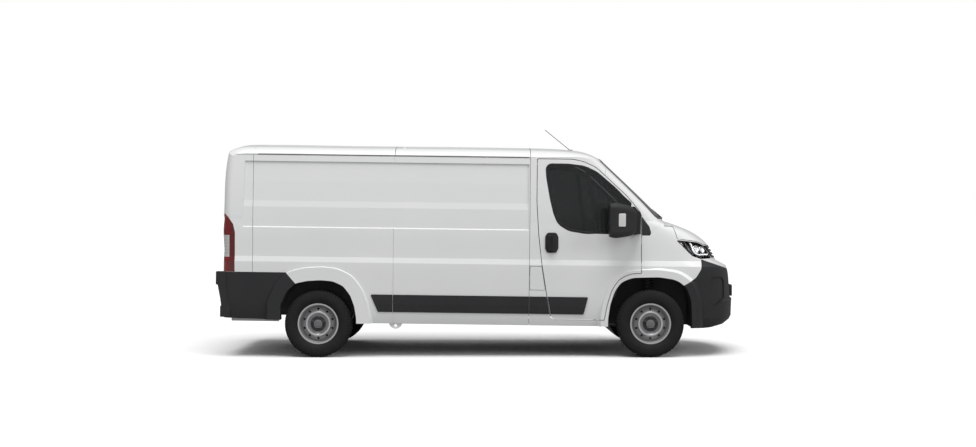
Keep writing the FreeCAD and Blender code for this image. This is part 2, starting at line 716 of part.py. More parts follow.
# Load space side: pressed panel, grooves, and the sliding door with its rail slot on the left
recess_front_x = 492.0
recess_rear_x = -2478.0
recess_lip_low_z = 1322.0
recess_lip_z = 1332.0
recess_lip_depth = 5.0
recess_depth = 14.0
middle_seam_top_x = -918.0
middle_seam_foot_x = -904.0
gutter_groove_low_z = 2072.0
gutter_groove_high_z = 2080.0
gutter_groove_rear_x = -2640.0
rail_slot_rear_x = -2330.0
rail_slot_low_z = 1180.0
rail_slot_high_z = 1215.0
rail_slot_depth = 15.0
sliding_rear_x = -899.0
sliding_front_x = 496.0
sliding_low_z = 402.0
sliding_high_z = 2040.0
sliding_round = 40.0
sliding_gap = 5.0

# Roof ribs and cross seams
rib_count = 6
rib_pitch = 215.0
rib_width = 60.0
rib_round = 28.0
rib_depth = 6.0
rib_runs = ((-2320.0, -980.0), (-842.0, 434.0))
roof_seam_depth = 5.0
roof_joint_gap = 0.3

# Rear end: the doors' opening seen from behind, and zones seen from the side
rear_opening_half_width = 820.0
rear_opening_shares = [(-1.0, 0.2758, 0.3), (-1.0, 0.6906, 4), (-0.92, 0.9775, 0.6), (0.92, 0.9775, 0.6),
                       (1.0, 0.6906, 4), (1.0, 0.2758, 0.3)]
rear_opening = outline(rear_opening_shares, 0.0, rear_opening_half_width, gutter_z)
rear_doors_meet = 12.0
rear_zone_to_x = -2500.0
rear_hinge_z = (940.0, 1290.0)
rear_hinge_height = 80.0
rear_leaf_from_x = -2662.0
rear_leaf_to_x = -2636.0
rear_leaf_bite = 1.0
tail_lamp_inner_y = -835.0
tail_lamp_shares = [(1.109, 0.6993, 0), (0.9783, 0.6983, 0), (0.9427, 0.6815, 0.4), (0.8903, 0.6465, 0.6),
                    (0.8696, 0.6067, 0.8), (0.8636, 0.411, 0), (1.109, 0.411, 0)]
rear_bumper_shares = [(1.208, 0.4101, 0), (0.3399, 0.4101, 0.2), (0.2292, 0.3492, 0), (0.3775, 0.2398, 0),
                      (0.3775, 0.1736, 0), (1.208, 0.1823, 0)]
rear_bumper_room_shares = rear_bumper_shares[:4] + [(0.3775, 0.05, 0), (1.208, 0.05, 0)]
rear_corner_shares = [(0.9111, 0.4096, 0), (1.071, 0.4096, 0.1), (1.071, 0.3463, 0.1), (1.042, 0.3434, 0.06),
                      (1.016, 0.2859, 0.6), (1.001, 0.2422, 0.06), (1.012, 0.2374, 0.06), (1.012, 0.1842, 0.1),
                      (0.9111, 0.1842, 0)]
tail_lamp_side = rear_outline(tail_lamp_shares)
rear_bumper_side = rear_outline(rear_bumper_shares)
rear_bumper_room = rear_outline(rear_bumper_room_shares)
rear_corner_side = rear_outline(rear_corner_shares)
rear_corner_outer_y = -984.0
rear_corner_inner_y = -850.0
rear_corner_round = 70.0
step_rear_x = -2702.0
step_front_x = -2612.0
step_half_width = 600.0
step_low_z = 372.0
step_high_z = 500.0

# Pressings of the right rear door seen from behind: shares of half the opening and of the gutter's height
door_pressing_shares = [[(-0.9, 0.64, 0.5), (-0.83, 0.945, 0.5), (-0.1, 0.945, 0.5), (-0.1, 0.64, 0.5)],
                        [(-0.9, 0.435, 0.4), (-0.9, 0.595, 0.4), (-0.22, 0.595, 0.4), (-0.22, 0.435, 0.4)],
                        [(-0.86, 0.305, 0.2), (-0.86, 0.415, 0.2), (-0.12, 0.415, 0.2), (-0.12, 0.305, 0.2)]]
door_pressing_depth = 9.0


def rear_seam_at(z):
    """Place along the van of the slanted seam at height z."""
    return rear_seam_x + rear_seam_lean_share * (gutter_z - z)


def rear_hinge_tabs(shell):
    tabs = []
    outer_y = rear_opening_half_width + rear_leaf_bite
    inner_y = rear_opening_half_width - clear_gap + tab_gap
    for middle in rear_hinge_z:
        low, high = middle - rear_hinge_height / 2, middle + rear_hinge_height / 2
        leaf = block(rear_leaf_from_x, rear_leaf_to_x, -outer_y, -inner_y, low, high)
        tabs += [shell.common(s) for s in with_mirrored([leaf])]
    return tabs


def side_cuts():
    """Grooves and pressed panel of the load space side, on the right."""
    top, foot = middle_seam_top_x, middle_seam_foot_x
    line = right_side([(top - seam / 2, gutter_z, 0), (top + seam / 2, gutter_z, 0),
                       (foot + seam / 2, 0, 0), (foot - seam / 2, 0, 0)])
    groove = outside_skin([(sill_bottom_z, seam_depth), (gutter_z, seam_depth)],
                          top - corner_size, foot + corner_size).common(line)
    gutter = outside_skin([(gutter_groove_low_z, seam_depth), (gutter_groove_high_z, seam_depth)],
                          gutter_groove_rear_x, cab_seam_x)
    recess = outside_skin([(recess_lip_low_z, 0.0), (recess_lip_z, recess_lip_depth),
                           (recess_foot_z, recess_lip_depth), (recess_shelf_z, recess_depth),
                           (recess_top_z, recess_depth)], recess_rear_x, recess_front_x)
    return groove, gutter, recess


def roof(shell):
    """Roof panel with long ribs and two cross seams."""
    panel = shell.common(slab(beyond_rear_x, beyond_front_x, gutter_z + roof_joint_gap, above_z))
    ribs = []
    for k in range(rib_count):
        middle = rib_pitch * (k - (rib_count - 1) / 2)
        low, high = middle - rib_width / 2, middle + rib_width / 2
        for x0, x1 in rib_runs:
            plan = [(x0, low, rib_round), (x1, low, rib_round), (x1, high, rib_round), (x0, high, rib_round)]
            ribs.append(prism_z(plan, gutter_z, above_z))
    ribs = Part.makeCompound(ribs).common(roof_space(rib_depth))
    seams = [slab(x - roof_seam / 2, x + roof_seam / 2, gutter_z, above_z)
             for x in (cab_seam_x, middle_seam_x, rear_seam_x)]
    seams = Part.makeCompound(seams).common(roof_space(roof_seam_depth))
    return solids(panel.cut([ribs, seams]))


def rear_bumper(shell, hole):
    """Bumper with a block on each corner and the step between them."""
    bumper = shell.common(wide(rear_bumper_side)).cut(hole)
    plan = [(rear_zone_to_x, rear_corner_outer_y, 0), (rear_zone_to_x, rear_corner_inner_y, 0),
            (rear_corner_side[1][0], rear_corner_inner_y, smallest_round),
            (rear_corner_side[1][0], rear_corner_outer_y, rear_corner_round)]
    corner = prism_y(rear_corner_side, rear_corner_outer_y, rear_corner_inner_y)
    corner = corner.common(prism_z(plan, 0, cowl_z))
    step = block(step_rear_x, step_front_x, -step_half_width, step_half_width, step_low_z, step_high_z)
    return solids(bumper.fuse(with_mirrored([corner]) + [step]).removeSplitter())


def rear_door(shell, smooth):
    """Right rear door with its pressed panels."""
    ring = rounded_wire(rear_opening, in_yz(beyond_rear_x)).makeOffset2D(-clear_gap)
    ring = Part.Face(ring).extrude(Vector(rear_zone_to_x - beyond_rear_x, 0, 0))
    half = shell.common(ring).common(block(beyond_rear_x, 0, -beyond_side_y, -rear_doors_meet / 2, 0, above_z))
    panels = [prism_x(outline(shares, 0.0, rear_opening_half_width, gutter_z), beyond_rear_x, rear_zone_to_x)
              for shares in door_pressing_shares]
    return solids(half.cut(Part.makeCompound(panels).cut(moved(smooth, door_pressing_depth, 0, 0))))


def rear_body(shell, smooth):
    """Pieces behind the cab seam: sides, roof, rear frame, doors, lamps and bumper."""
    parts = {}
    front_x = cab_seam_x - seam / 2
    rear_top, rear_foot = rear_seam_at(gutter_z), rear_seam_at(0)
    side_zone = right_side([(rear_top + seam / 2, gutter_z, 0), (front_x, gutter_z, 0), (front_x, 0, 0),
                            (rear_foot + seam / 2, 0, 0)])
    back_zone = wide([(beyond_rear_x, gutter_z, 0), (rear_top - seam / 2, gutter_z, 0),
                      (rear_foot - seam / 2, 0, 0), (beyond_rear_x, 0, 0)])
    bumper_room = wide_grown(rear_bumper_room, piece_gap)
    groove, gutter, recess = side_cuts()
    side = shell.common(side_zone).cut([bumper_room, groove, gutter, recess])
    parts["body_side_right"] = solids(side)
    slot = outside_skin([(rail_slot_low_z, rail_slot_depth), (rail_slot_high_z, rail_slot_depth)],
                        rail_slot_rear_x, sliding_rear_x)
    left = mirrored(side.cut(slot))
    sliding = [(sliding_rear_x, sliding_low_z, sliding_round), (sliding_rear_x, sliding_high_z, sliding_round),
               (sliding_front_x, sliding_high_z, sliding_round), (sliding_front_x, sliding_low_z, sliding_round)]
    parts["body_side_left"] = solids(left.cut(grown(sliding, sliding_gap, inside_y, beyond_side_y)))
    parts["sliding_door"] = solids(left.common(prism_y(sliding, inside_y, beyond_side_y)))
    parts["roof"] = roof(shell)
    hole = prism_x(rear_opening, beyond_rear_x, rear_zone_to_x)
    lamp = prism_y(tail_lamp_side, -beyond_side_y, tail_lamp_inner_y)
    back = shell.common(back_zone).cut([hole, bumper_room] + with_mirrored([gutter, recess, lamp]))
    parts["rear_frame"] = solids(back.fuse(rear_hinge_tabs(shell)))
    parts["tail_lamp_right"] = solids(shell.common(lamp))
    parts["rear_bumper"] = rear_bumper(shell, hole)
    parts["rear_door_right"] = rear_door(shell, smooth)
    return parts


# Floor, frame, firewall and arch liners
floor_top_z = 560.0
floor_bottom_z = 530.0
floor_front_x = 1330.0
floor_rear_x = -2600.0
rail_front_x = 2500.0
rail_inner_y = 430.0
rail_outer_y = 500.0
rail_low_z = 400.0
cross_places = (-2550.0, -1100.0, -350.0, 450.0, 1250.0)
cross_width = 60.0
cross_half_length = 900.0
cross_low_z = 440.0
skirt_rear_x = -2595.0
skirt_front_x = -2100.0
skirt_low_z = 340.0
skirt_outer_y = 900.0
skirt_thickness = 12.0
bulkhead_x = 470.0
bulkhead_top_z = 2150.0
sheet = 15.0
firewall_upper_x = 1690.0
firewall_upper_half_width = 850.0
firewall_top_z = 1400.0
firewall_shelf_z = 862.0
firewall_lower_x = 1480.0
firewall_lower_half_width = 559.0
liner_plan_shares = [(-0.5381, -0.9433), (-0.0742, -0.9234), (0.3979, -0.8915), (0.4928, -0.8756), (0.4928, 0.0),
                     (-0.5381, 0.0)]
deflector_shares = [(0.6312, 0.1655, 0), (0.6564, 0.1655, 0), (0.7006, 0.1285, 0.06), (0.6911, 0.1257, 0.06),
                    (0.6312, 0.1559, 0)]
deflector_outer_y = -958.0
deflector_inner_y = -720.0


def liner_room():
    """Space that the right front arch liner takes up, with a small gap round it."""
    gap = liner_thickness + tab_gap
    return grown(front_arch, gap, -beyond_side_y, arch_inner_y + gap)


def floor(inner):
    """Load floor with a box over each rear wheel."""
    box_space = prism_y(rear_arch, -beyond_side_y, rear_box_inner_y)
    box = grown(rear_arch, liner_thickness, -beyond_side_y, rear_box_inner_y + liner_thickness)
    plate = inner.common(slab(floor_rear_x, floor_front_x, floor_bottom_z, floor_top_z))
    over = slab(beyond_rear_x, 0, floor_bottom_z, above_z)
    boxes = [b.common(inner).common(over) for b in with_mirrored([box])]
    return solids(plate.fuse(boxes).cut(with_mirrored([box_space, liner_room()])))


def arch_liners(shell):
    """Dark liner over each front wheel, with a mud deflector behind it."""
    liner = grown(front_arch, liner_thickness, -beyond_side_y, arch_inner_y + liner_thickness)
    liner = liner.cut(prism_y(front_arch, -beyond_side_y, arch_inner_y))
    plan = [(front_axle_x + front_overhang * a, flank_half_width * b, 0) for a, b in liner_plan_shares]
    deflector = prism_y(cab_outline(deflector_shares), deflector_outer_y, deflector_inner_y)
    liner = liner.common(prism_z(plan, sill_bottom_z, loft_top_z)).fuse(deflector).cut(shell)
    return both_sides(solids(liner))


def firewall(inner):
    half = firewall_lower_half_width
    upper = inner.common(block(firewall_upper_x, firewall_upper_x + sheet, -firewall_upper_half_width,
                               firewall_upper_half_width, firewall_shelf_z, firewall_top_z))
    lower = block(firewall_lower_x, firewall_lower_x + sheet, -half, half, floor_bottom_z, firewall_shelf_z)
    shelf = block(firewall_lower_x, firewall_upper_x + sheet, -half, half, firewall_shelf_z, firewall_shelf_z + sheet)
    return solids(upper.fuse([lower, shelf]).cut(with_mirrored([liner_room()])))


def chassis_rails():
    """Two rails with cross members, and the skirt plates that hang beside the rear bumper."""
    top = floor_bottom_z - tab_gap
    rail = block(floor_rear_x, rail_front_x, -rail_outer_y, -rail_inner_y, rail_low_z, top)
    beams = [block(x - cross_width / 2, x + cross_width / 2, -cross_half_length, cross_half_length, cross_low_z, top)
             for x in cross_places]
    skirt = block(skirt_rear_x, skirt_front_x, -skirt_outer_y, skirt_thickness - skirt_outer_y, skirt_low_z, top)
    return solids(rail.fuse(with_mirrored([skirt]) + [mirrored(rail)] + beams))


def underside(shell, inner):
    """Floor, liners, firewall, frame and bulkhead."""
    low = floor_top_z + tab_gap
    wall_piece = inner.common(slab(bulkhead_x, bulkhead_x + sheet, low, bulkhead_top_z))
    return {"floor": floor(inner), "arch_liners": arch_liners(shell), "firewall": firewall(inner),
            "chassis_rails": chassis_rails(), "bulkhead": solids(wall_piece)}


# Wheels, in the world frame
tyre_half_width = 112.5
tread_half_width = 84.0
front_wheel_y = -905.0
rear_wheel_y = -895.0
wheel_places = {"front": (front_axle_x, front_wheel_y), "rear": (rear_axle_x, rear_wheel_y)}
wheel_hole_ring = 152.0
wheel_hole_radius = 12.0
wheel_hole_count = 10
wheel_bolt_ring = 59.0
wheel_bolt_radius = 12.0
wheel_bolt_count = 5
wheel_bolt_start = -72.0
wheel_bolt_length = 15.0
wheel_cap_radius = 44.0
wheel_cap_start = -73.0
hub_bore = 30.0
stub_clearance = 0.05
stub_end = -72.7
stub_start = 20.0
tread_groove_shares = (-0.69, -0.24, 0.24, 0.69)
tread_groove_width = 8.0
tread_groove_depth = 8.0

# Tyre and rim sections: shares of the tyre's radius and half width, corner radius share of the corner size;
# the rim's outer face lies towards negative widths
tyre_section_shares = [(0.5813, -0.7067, 0), (0.6121, -0.7431, 0), (0.6609, -0.8889, 0.2), (0.7902, -1.0, 0.6),
                       (0.9483, -0.9244, 0.4), (1.0, -0.7467, 0.14), (1.0, 0.7467, 0.14), (0.9483, 0.9244, 0.4),
                       (0.7902, 1.0, 0.6), (0.6609, 0.8889, 0.2), (0.6121, 0.7431, 0), (0.5813, 0.7067, 0)]
rim_outer_shares = [(0.6092, 0.7822, 0), (0.6092, 0.7467, 0), (0.5805, 0.7111, 0), (0.5747, 0.5511, 0),
                    (0.5086, 0.4444, 0), (0.5086, -0.3556, 0), (0.5747, -0.5333, 0), (0.5805, -0.7111, 0),
                    (0.6092, -0.7467, 0), (0.6092, -0.7822, 0), (0.5661, -0.7822, 0), (0.5603, -0.5867, 0),
                    (0.4957, -0.3911, 0), (0.4598, -0.4444, 0.08), (0.3966, -0.5156, 0.08), (0.3678, -0.7467, 0.05),
                    (0.3218, -0.7467, 0.05), (0.2759, -0.5511, 0.08), (0.2529, -0.6489, 0.04), (0.0862, -0.6489, 0)]
rim_inner_shares = [(0.0862, -0.4444, 0), (0.1609, -0.4444, 0), (0.1609, -0.6044, 0), (0.2471, -0.6044, 0.04),
                    (0.2701, -0.5067, 0.06), (0.3261, -0.7022, 0.03), (0.3621, -0.7022, 0.03), (0.3879, -0.4622, 0.06),
                    (0.454, -0.3911, 0.08), (0.4828, -0.2667, 0.04), (0.4943, -0.2311, 0), (0.4943, 0.48, 0),
                    (0.5632, 0.5867, 0), (0.569, 0.7822, 0)]


def turned(section, centre):
    """Solid turned about the cross axis through centre from a section of (radius, offset, corner)."""
    wire = rounded_wire(section, lambda r, y: Vector(centre.x, centre.y + y, centre.z + r))
    return Part.Face(wire).revolve(centre, Vector(0, 1, 0), 360)


def wheel_centre(end):
    x, y = wheel_places[end]
    return Vector(x, y, tyre_radius)


def wheel_section(shares):
    return outline(shares, 0.0, tyre_radius, tyre_half_width)


def tyre(end):
    """Tyre with grooves round its tread, on the right side."""
    centre = wheel_centre(end)
    grooves = []
    low, high = tyre_radius - tread_groove_depth, tyre_radius + tread_groove_depth
    for share in tread_groove_shares:
        start = tread_half_width * share - tread_groove_width / 2
        ring = [(low, start, 0), (high, start, 0), (high, start + tread_groove_width, 0),
                (low, start + tread_groove_width, 0)]
        grooves.append(turned(ring, centre))
    return turned(wheel_section(tyre_section_shares), centre).cut(grooves)


def round_the_axle(centre, ring, count, radius, start, length):
    made = []
    for k in range(count):
        angle = 2 * math.pi * k / count
        place = centre + Vector(ring * math.sin(angle), start, ring * math.cos(angle))
        made.append(Part.makeCylinder(radius, length, place, Vector(0, -1, 0)))
    return made


def rim(end):
    """Steel wheel with a raised ring, round holes, bolts and a centre cap."""
    centre = wheel_centre(end)
    body = turned(wheel_section(rim_outer_shares + rim_inner_shares), centre)
    bore = rod(centre + Vector(0, tyre_half_width, 0), centre - Vector(0, -wheel_cap_start, 0), hub_bore)
    holes = round_the_axle(centre, wheel_hole_ring, wheel_hole_count, wheel_hole_radius, 0, tyre_half_width)
    bolts = round_the_axle(centre, wheel_bolt_ring, wheel_bolt_count, wheel_bolt_radius, wheel_bolt_start,
                           wheel_bolt_length)
    cap = round_the_axle(centre, 0, 1, wheel_cap_radius, wheel_cap_start, wheel_bolt_length)
    return body.cut(holes + [bore]).fuse(bolts + cap).removeSplitter()


# Front and rear running gear, in the world frame
steer_axis_y = -860.0
hub_radius = 55.0
hub_end = -44.0
hub_inner_y = -800.0
disc_radius = 130.0
disc_width = 22.0
post_half_length = 45.0
post_outer_y = -838.0
post_low = 75.0
post_high = 120.0
pin_radius = 12.0
arm_low_z = 228.0
arm_high_z = 262.0
arm_eye_radius = 25.0
arm_inner_y = -400.0
arm_plan_shares = [(-0.155, 0.465, 0), (-0.0464, 0.9186, 0.6), (-0.0258, 1.0, 0), (0.0258, 1.0, 0),
                   (0.0464, 0.9186, 0.6), (0.155, 0.465, 0)]
subframe_rear = 230.0
subframe_front = 260.0
subframe_half_width = 420.0
subframe_low_z = 255.0
subframe_high_z = 320.0
arm_mount_half_length = 120.0
arm_mount_width = 30.0
damper_foot_y = -700.0
damper_foot_z = 250.0
damper_top_y = -672.0
damper_radius = 30.0
post_behind = 120.0
frame_post = 60.0
frame_post_low_z = 300.0
frame_post_outer_y = -495.0
rear_beam_half_length = 790.0
rear_beam_radius = 45.0
drum_inner_y = -770.0
drum_outer_y = -860.0
leaf_thickness = 20.0
leaf_inner_y = -435.0
leaf_ahead = 650.0
leaf_behind = 640.0
leaf_eye_length = 50.0
leaf_curve = 800.0


def stub(end):
    """Stub shaft on which a right wheel's bore runs."""
    centre = wheel_centre(end)
    return rod(centre + Vector(0, stub_start, 0), centre + Vector(0, stub_end, 0), hub_bore - stub_clearance)


def knuckle():
    """Front upright with its hub and brake disc, turning about the upright steering axis."""
    centre = wheel_centre("front")
    hub = rod(Vector(centre.x, hub_inner_y, centre.z), centre + Vector(0, hub_end, 0), hub_radius)
    disc = rod(centre, centre - Vector(0, disc_width, 0), disc_radius)
    post = block(centre.x - post_half_length, centre.x + post_half_length, post_outer_y, hub_inner_y,
                 centre.z - post_low, centre.z + post_high)
    pin = rod(Vector(centre.x, steer_axis_y, arm_high_z + tab_gap), Vector(centre.x, steer_axis_y, centre.z), pin_radius)
    return hub.fuse([disc, post, pin, stub("front")]).removeSplitter()


def rail_underside(x):
    """Height above the ground of the pitched rail's underside, less the gap that a post under it keeps."""
    return world_z(x, rail_low_z) - tab_gap


def arch_crown_at(x):
    """Level height of the front arch's crown at x."""
    (x0, z0, _), (x1, z1, _) = front_arch[5], front_arch[6]
    return z0 + (z1 - z0) * (x - x0) / (x1 - x0)


def front_suspension():
    """Subframe with lower arms and damper struts."""
    x = front_axle_x
    half = subframe_half_width
    frame = block(x - subframe_rear, x + subframe_front, -half, half, subframe_low_z, subframe_high_z)
    arm = [(x + front_overhang * a, steer_axis_y * b, corner_size * r) for a, b, r in arm_plan_shares]
    crown = world_z(x + damper_radius, arch_crown_at(x - damper_radius)) - tab_gap
    top = crown - damper_radius * (damper_top_y - damper_foot_y) / (crown - damper_foot_z)
    mount_x0, mount_x1 = x - post_behind - frame_post / 2, x - post_behind + frame_post / 2
    right = [prism_z(arm, arm_low_z, arm_high_z),
             rod(Vector(x, steer_axis_y, arm_low_z), Vector(x, steer_axis_y, arm_high_z), arm_eye_radius),
             block(x - arm_mount_half_length, x + arm_mount_half_length, -half, -half + arm_mount_width, arm_low_z,
                   arm_high_z),
             rod(Vector(x, damper_foot_y, damper_foot_z), Vector(x, damper_top_y, top), damper_radius),
             block(mount_x0, mount_x1, frame_post_outer_y, frame_post_outer_y + frame_post, frame_post_low_z,
                   rail_underside(mount_x1)),
             block(mount_x0, mount_x1, frame_post_outer_y, -half, subframe_low_z, subframe_high_z)]
    return frame.fuse(with_mirrored(right)).removeSplitter()


def rear_axle():
    """Beam axle with brake drums and hub stubs."""
    centre = wheel_centre("rear")
    x, z = centre.x, centre.z
    beam = rod(Vector(x, -rear_beam_half_length, z), Vector(x, rear_beam_half_length, z), rear_beam_radius)
    right = [rod(Vector(x, drum_outer_y, z), Vector(x, drum_inner_y, z), disc_radius),
             rod(centre + Vector(0, hub_end, 0), Vector(x, drum_outer_y, z), hub_radius), stub("rear")]
    return beam.fuse(with_mirrored(right)).removeSplitter()


def leaf_springs():
    """One long leaf each side, clamped on the axle and hung under the frame rail at both ends."""
    x = rear_axle_x
    low = tyre_radius + rear_beam_radius + tab_gap
    back, ahead = x - leaf_behind, x + leaf_ahead
    rear_top, front_top = rail_underside(back + leaf_eye_length), rail_underside(ahead)
    leaf = [(back, rear_top - leaf_thickness, 0), (back, rear_top, 0), (back + leaf_eye_length, rear_top, 0),
            (x, low + leaf_thickness, leaf_curve), (ahead, front_top, 0), (ahead, front_top - leaf_thickness, 0),
            (x, low, leaf_curve)]
    return both_sides(prism_y(leaf, frame_post_outer_y, leaf_inner_y))


# Engine, tank and exhaust under the floor
engine_rear_x = 1760.0
engine_front_x = 2280.0
engine_half_width = 380.0
engine_low_z = 470.0
engine_high_z = 1020.0
engine_foot_x = 1980.0
engine_foot_length = 80.0
tank_rear_x = -300.0
tank_front_x = 400.0
tank_inner_y = 120.0
tank_outer_y = 420.0
tank_low_z = 290.0
tank_round = 40.0
exhaust_front_x = 1530.0
exhaust_bend_x = 600.0
exhaust_shift_x = 300.0
exhaust_front_y = -150.0
exhaust_rear_y = -300.0
exhaust_low_z = 300.0
exhaust_radius = 28.0
exhaust_bend = 120.0
silencer_front_x = -550.0
silencer_rear_x = -1000.0
silencer_z = 372.0
silencer_radius = 62.0
hanger_width = 30.0
front_hanger_x = 1250.0
rear_hanger_x = -1085.0
tail_pipe_end_x = -1128.0


def engine():
    body = block(engine_rear_x, engine_front_x, -engine_half_width, engine_half_width, engine_low_z, engine_high_z)
    reach = rail_inner_y - tab_gap
    foot = block(engine_foot_x, engine_foot_x + engine_foot_length, -reach, reach, engine_low_z,
                 floor_bottom_z - tab_gap)
    return body.fuse(foot).removeSplitter()


def fuel_tank():
    side = [(tank_inner_y, tank_low_z, tank_round), (tank_outer_y, tank_low_z, tank_round),
            (tank_outer_y, floor_bottom_z - tab_gap, 0), (tank_inner_y, floor_bottom_z - tab_gap, 0)]
    return prism_x(side, tank_rear_x, tank_front_x)


def exhaust():
    """Pipe, silencer and tail pipe, hung from two cross members."""
    front = [Vector(exhaust_front_x, exhaust_front_y, exhaust_low_z), Vector(exhaust_bend_x, exhaust_front_y, exhaust_low_z),
             Vector(exhaust_shift_x, exhaust_rear_y, silencer_z), Vector(silencer_front_x, exhaust_rear_y, silencer_z)]
    box = rod(front[-1], Vector(silencer_rear_x, exhaust_rear_y, silencer_z), silencer_radius)
    tail = rod(Vector(silencer_rear_x, exhaust_rear_y, silencer_z), Vector(tail_pipe_end_x, exhaust_rear_y, silencer_z),
               exhaust_radius)
    hangers = []
    for x, y, low in ((front_hanger_x, exhaust_front_y, exhaust_low_z), (rear_hanger_x, exhaust_rear_y, silencer_z)):
        half = hanger_width / 2
        hangers.append(block(x - half, x + half, y - half, y + half, low, cross_low_z - tab_gap))
    return pipe(front, exhaust_radius, exhaust_bend).fuse([box, tail] + hangers).removeSplitter()


# Cab fittings: outlines are shares of the cab's length ahead of its seam and of the gutter's height
dashboard_shares = [(0.9354, 0.4173, 0), (0.7384, 0.4317, 0.4), (0.7069, 0.542, 0.6), (0.7463, 0.5947, 0.6),
                    (0.9338, 0.6053, 0)]
dashboard_half_width = 840.0
seat_cushion_shares = [(0.1253, 0.4102, 0.4), (0.1332, 0.4892, 0.5), (0.5303, 0.4988, 0.5), (0.5461, 0.4484, 0.5),
                       (0.4909, 0.4102, 0.3)]
seat_back_shares = [(0.1332, 0.4796, 0.4), (0.0433, 0.7338, 0.3), (0.1001, 0.7482, 0.35), (0.2151, 0.614, 3),
                    (0.2498, 0.4892, 0.4)]
seat_head_shares = [(0.0292, 0.7626, 0.3), (0.0213, 0.8393, 0.3), (0.0875, 0.8489, 0.35), (0.1032, 0.7674, 0.3)]
seat_base_rear_x = 720.0
seat_base_front_x = 1120.0
seat_base_inset = 60.0
seat_base_high_z = 860.0
seat_back_inset = 20.0
seat_head_half_width = 130.0
seat_stalk_radius = 12.0
seat_stalk_foot_z = 1500.0
seat_stalk_top_z = 1640.0
seat_stalk_foot_x = 600.0
seat_stalk_top_x = 590.0
seat_places = ((-800.0, -300.0), (-200.0, 270.0), (278.0, 760.0))
steering_x = 1290.0
steering_y = -550.0
steering_z = 1290.0
steering_lean_deg = 33.0
steering_radius = 190.0
steering_grip = 15.0
steering_hub_radius = 62.0
steering_hub_behind = 20.0
steering_hub_ahead = 25.0
steering_column_radius = 28.0
steering_column_length = 330.0
steering_spoke_radius = 12.0
steering_spoke_degs = (0.0, 180.0, 270.0)


def dashboard(inner):
    half = dashboard_half_width
    side = prism_y(cab_outline(dashboard_shares), -half, half)
    room = block(0, firewall_upper_x - tab_gap, -half, half, firewall_shelf_z + sheet + tab_gap, cowl_z)
    return inner.common(side).common(room)


def seats():
    """Driver's seat on the right and a double passenger seat on the left."""
    made = []
    for y0, y1 in seat_places:
        middle = (y0 + y1) / 2
        base = block(seat_base_rear_x, seat_base_front_x, y0 + seat_base_inset, y1 - seat_base_inset,
                     floor_top_z + tab_gap, seat_base_high_z)
        pieces = [prism_y(cab_outline(seat_cushion_shares), y0, y1),
                  prism_y(cab_outline(seat_back_shares), y0 + seat_back_inset, y1 - seat_back_inset),
                  prism_y(cab_outline(seat_head_shares), middle - seat_head_half_width, middle + seat_head_half_width),
                  rod(Vector(seat_stalk_foot_x, middle, seat_stalk_foot_z),
                      Vector(seat_stalk_top_x, middle, seat_stalk_top_z), seat_stalk_radius)]
        made.append(base.fuse(pieces).removeSplitter())
    return Part.makeCompound(made)


def steering_wheel(dashboard_piece):
    centre = Vector(steering_x, steering_y, steering_z)
    lean = math.radians(steering_lean_deg)
    axis = Vector(-math.sin(lean), 0, math.cos(lean))
    up = Vector(math.cos(lean), 0, math.sin(lean))
    ring = Part.makeTorus(steering_radius, steering_grip, centre, axis)
    column = rod(centre, centre - axis * steering_column_length, steering_column_radius)
    hub = rod(centre - axis * steering_hub_behind, centre + axis * steering_hub_ahead, steering_hub_radius)
    spokes = []
    for angle in steering_spoke_degs:
        way = up * math.sin(math.radians(angle)) + Vector(0, math.cos(math.radians(angle)), 0)
        spokes.append(rod(centre, centre + way * steering_radius, steering_spoke_radius))
    return ring.fuse([column, hub] + spokes).cut([dashboard_piece, moved(dashboard_piece, -tab_gap, 0, 0)])


# Outside trim: mirrors, handles, mouldings, aerial and wipers
mirror_rear_x = 1313.0
mirror_length = 277.0
mirror_inner_y = -1065.0
mirror_reach = -200.0
mirror_low_z = 1262.0
mirror_height = 355.0
mirror_row_shares = [(0.0, 0.03, 0.97, 0.03, 0.97, 0.5), (0.1, 0.0, 1.0, 0.0, 1.0, 0.6),
                     (0.45, 0.0, 0.97, 0.01, 0.98, 0.65), (0.8, 0.02, 0.84, 0.07, 0.9, 0.6),
                     (1.0, 0.1, 0.6, 0.22, 0.74, 0.3)]
mirror_pocket_shares = [(0.1, 0.07, 0.5), (0.9, 0.07, 0.5), (0.9, 0.93, 0.5), (0.1, 0.93, 0.5)]
mirror_pocket_depth = 6.0
mirror_arm_shares = [(0.826, 0.619, 0.2), (0.895, 0.6245, 0), (0.895, 0.659, 0), (0.826, 0.6645, 0.2)]
mirror_arm_outer_y = -1115.0
mirror_base_shares = [(0.8337, 0.6249, 0), (0.9078, 0.6249, 0), (0.9078, 0.7252, 0.2), (0.8337, 0.7755, 0.2)]
mirror_base_outer_y = -975.0
trim_inner_y = -850.0
handle_shares = [(0.1261, 0.5468, 0.45), (0.1261, 0.6038, 0.45), (0.1434, 0.6249, 0.3), (0.2167, 0.6249, 0.3),
                 (0.234, 0.6038, 0.45), (0.234, 0.5468, 0.45), (0.2167, 0.5247, 0.3), (0.1434, 0.5247, 0.3)]
grip_shares = [(0.1521, 0.536, 0.1), (0.1521, 0.6139, 0.1), (0.1962, 0.6139, 0.1), (0.1962, 0.536, 0.1)]
handle_proud = 9.0
grip_proud = 36.0
grip_space_low_z = 1140.0
grip_space_high_z = 1258.0
grip_space_outer_y = -1011.0
moulding_proud = 9.0
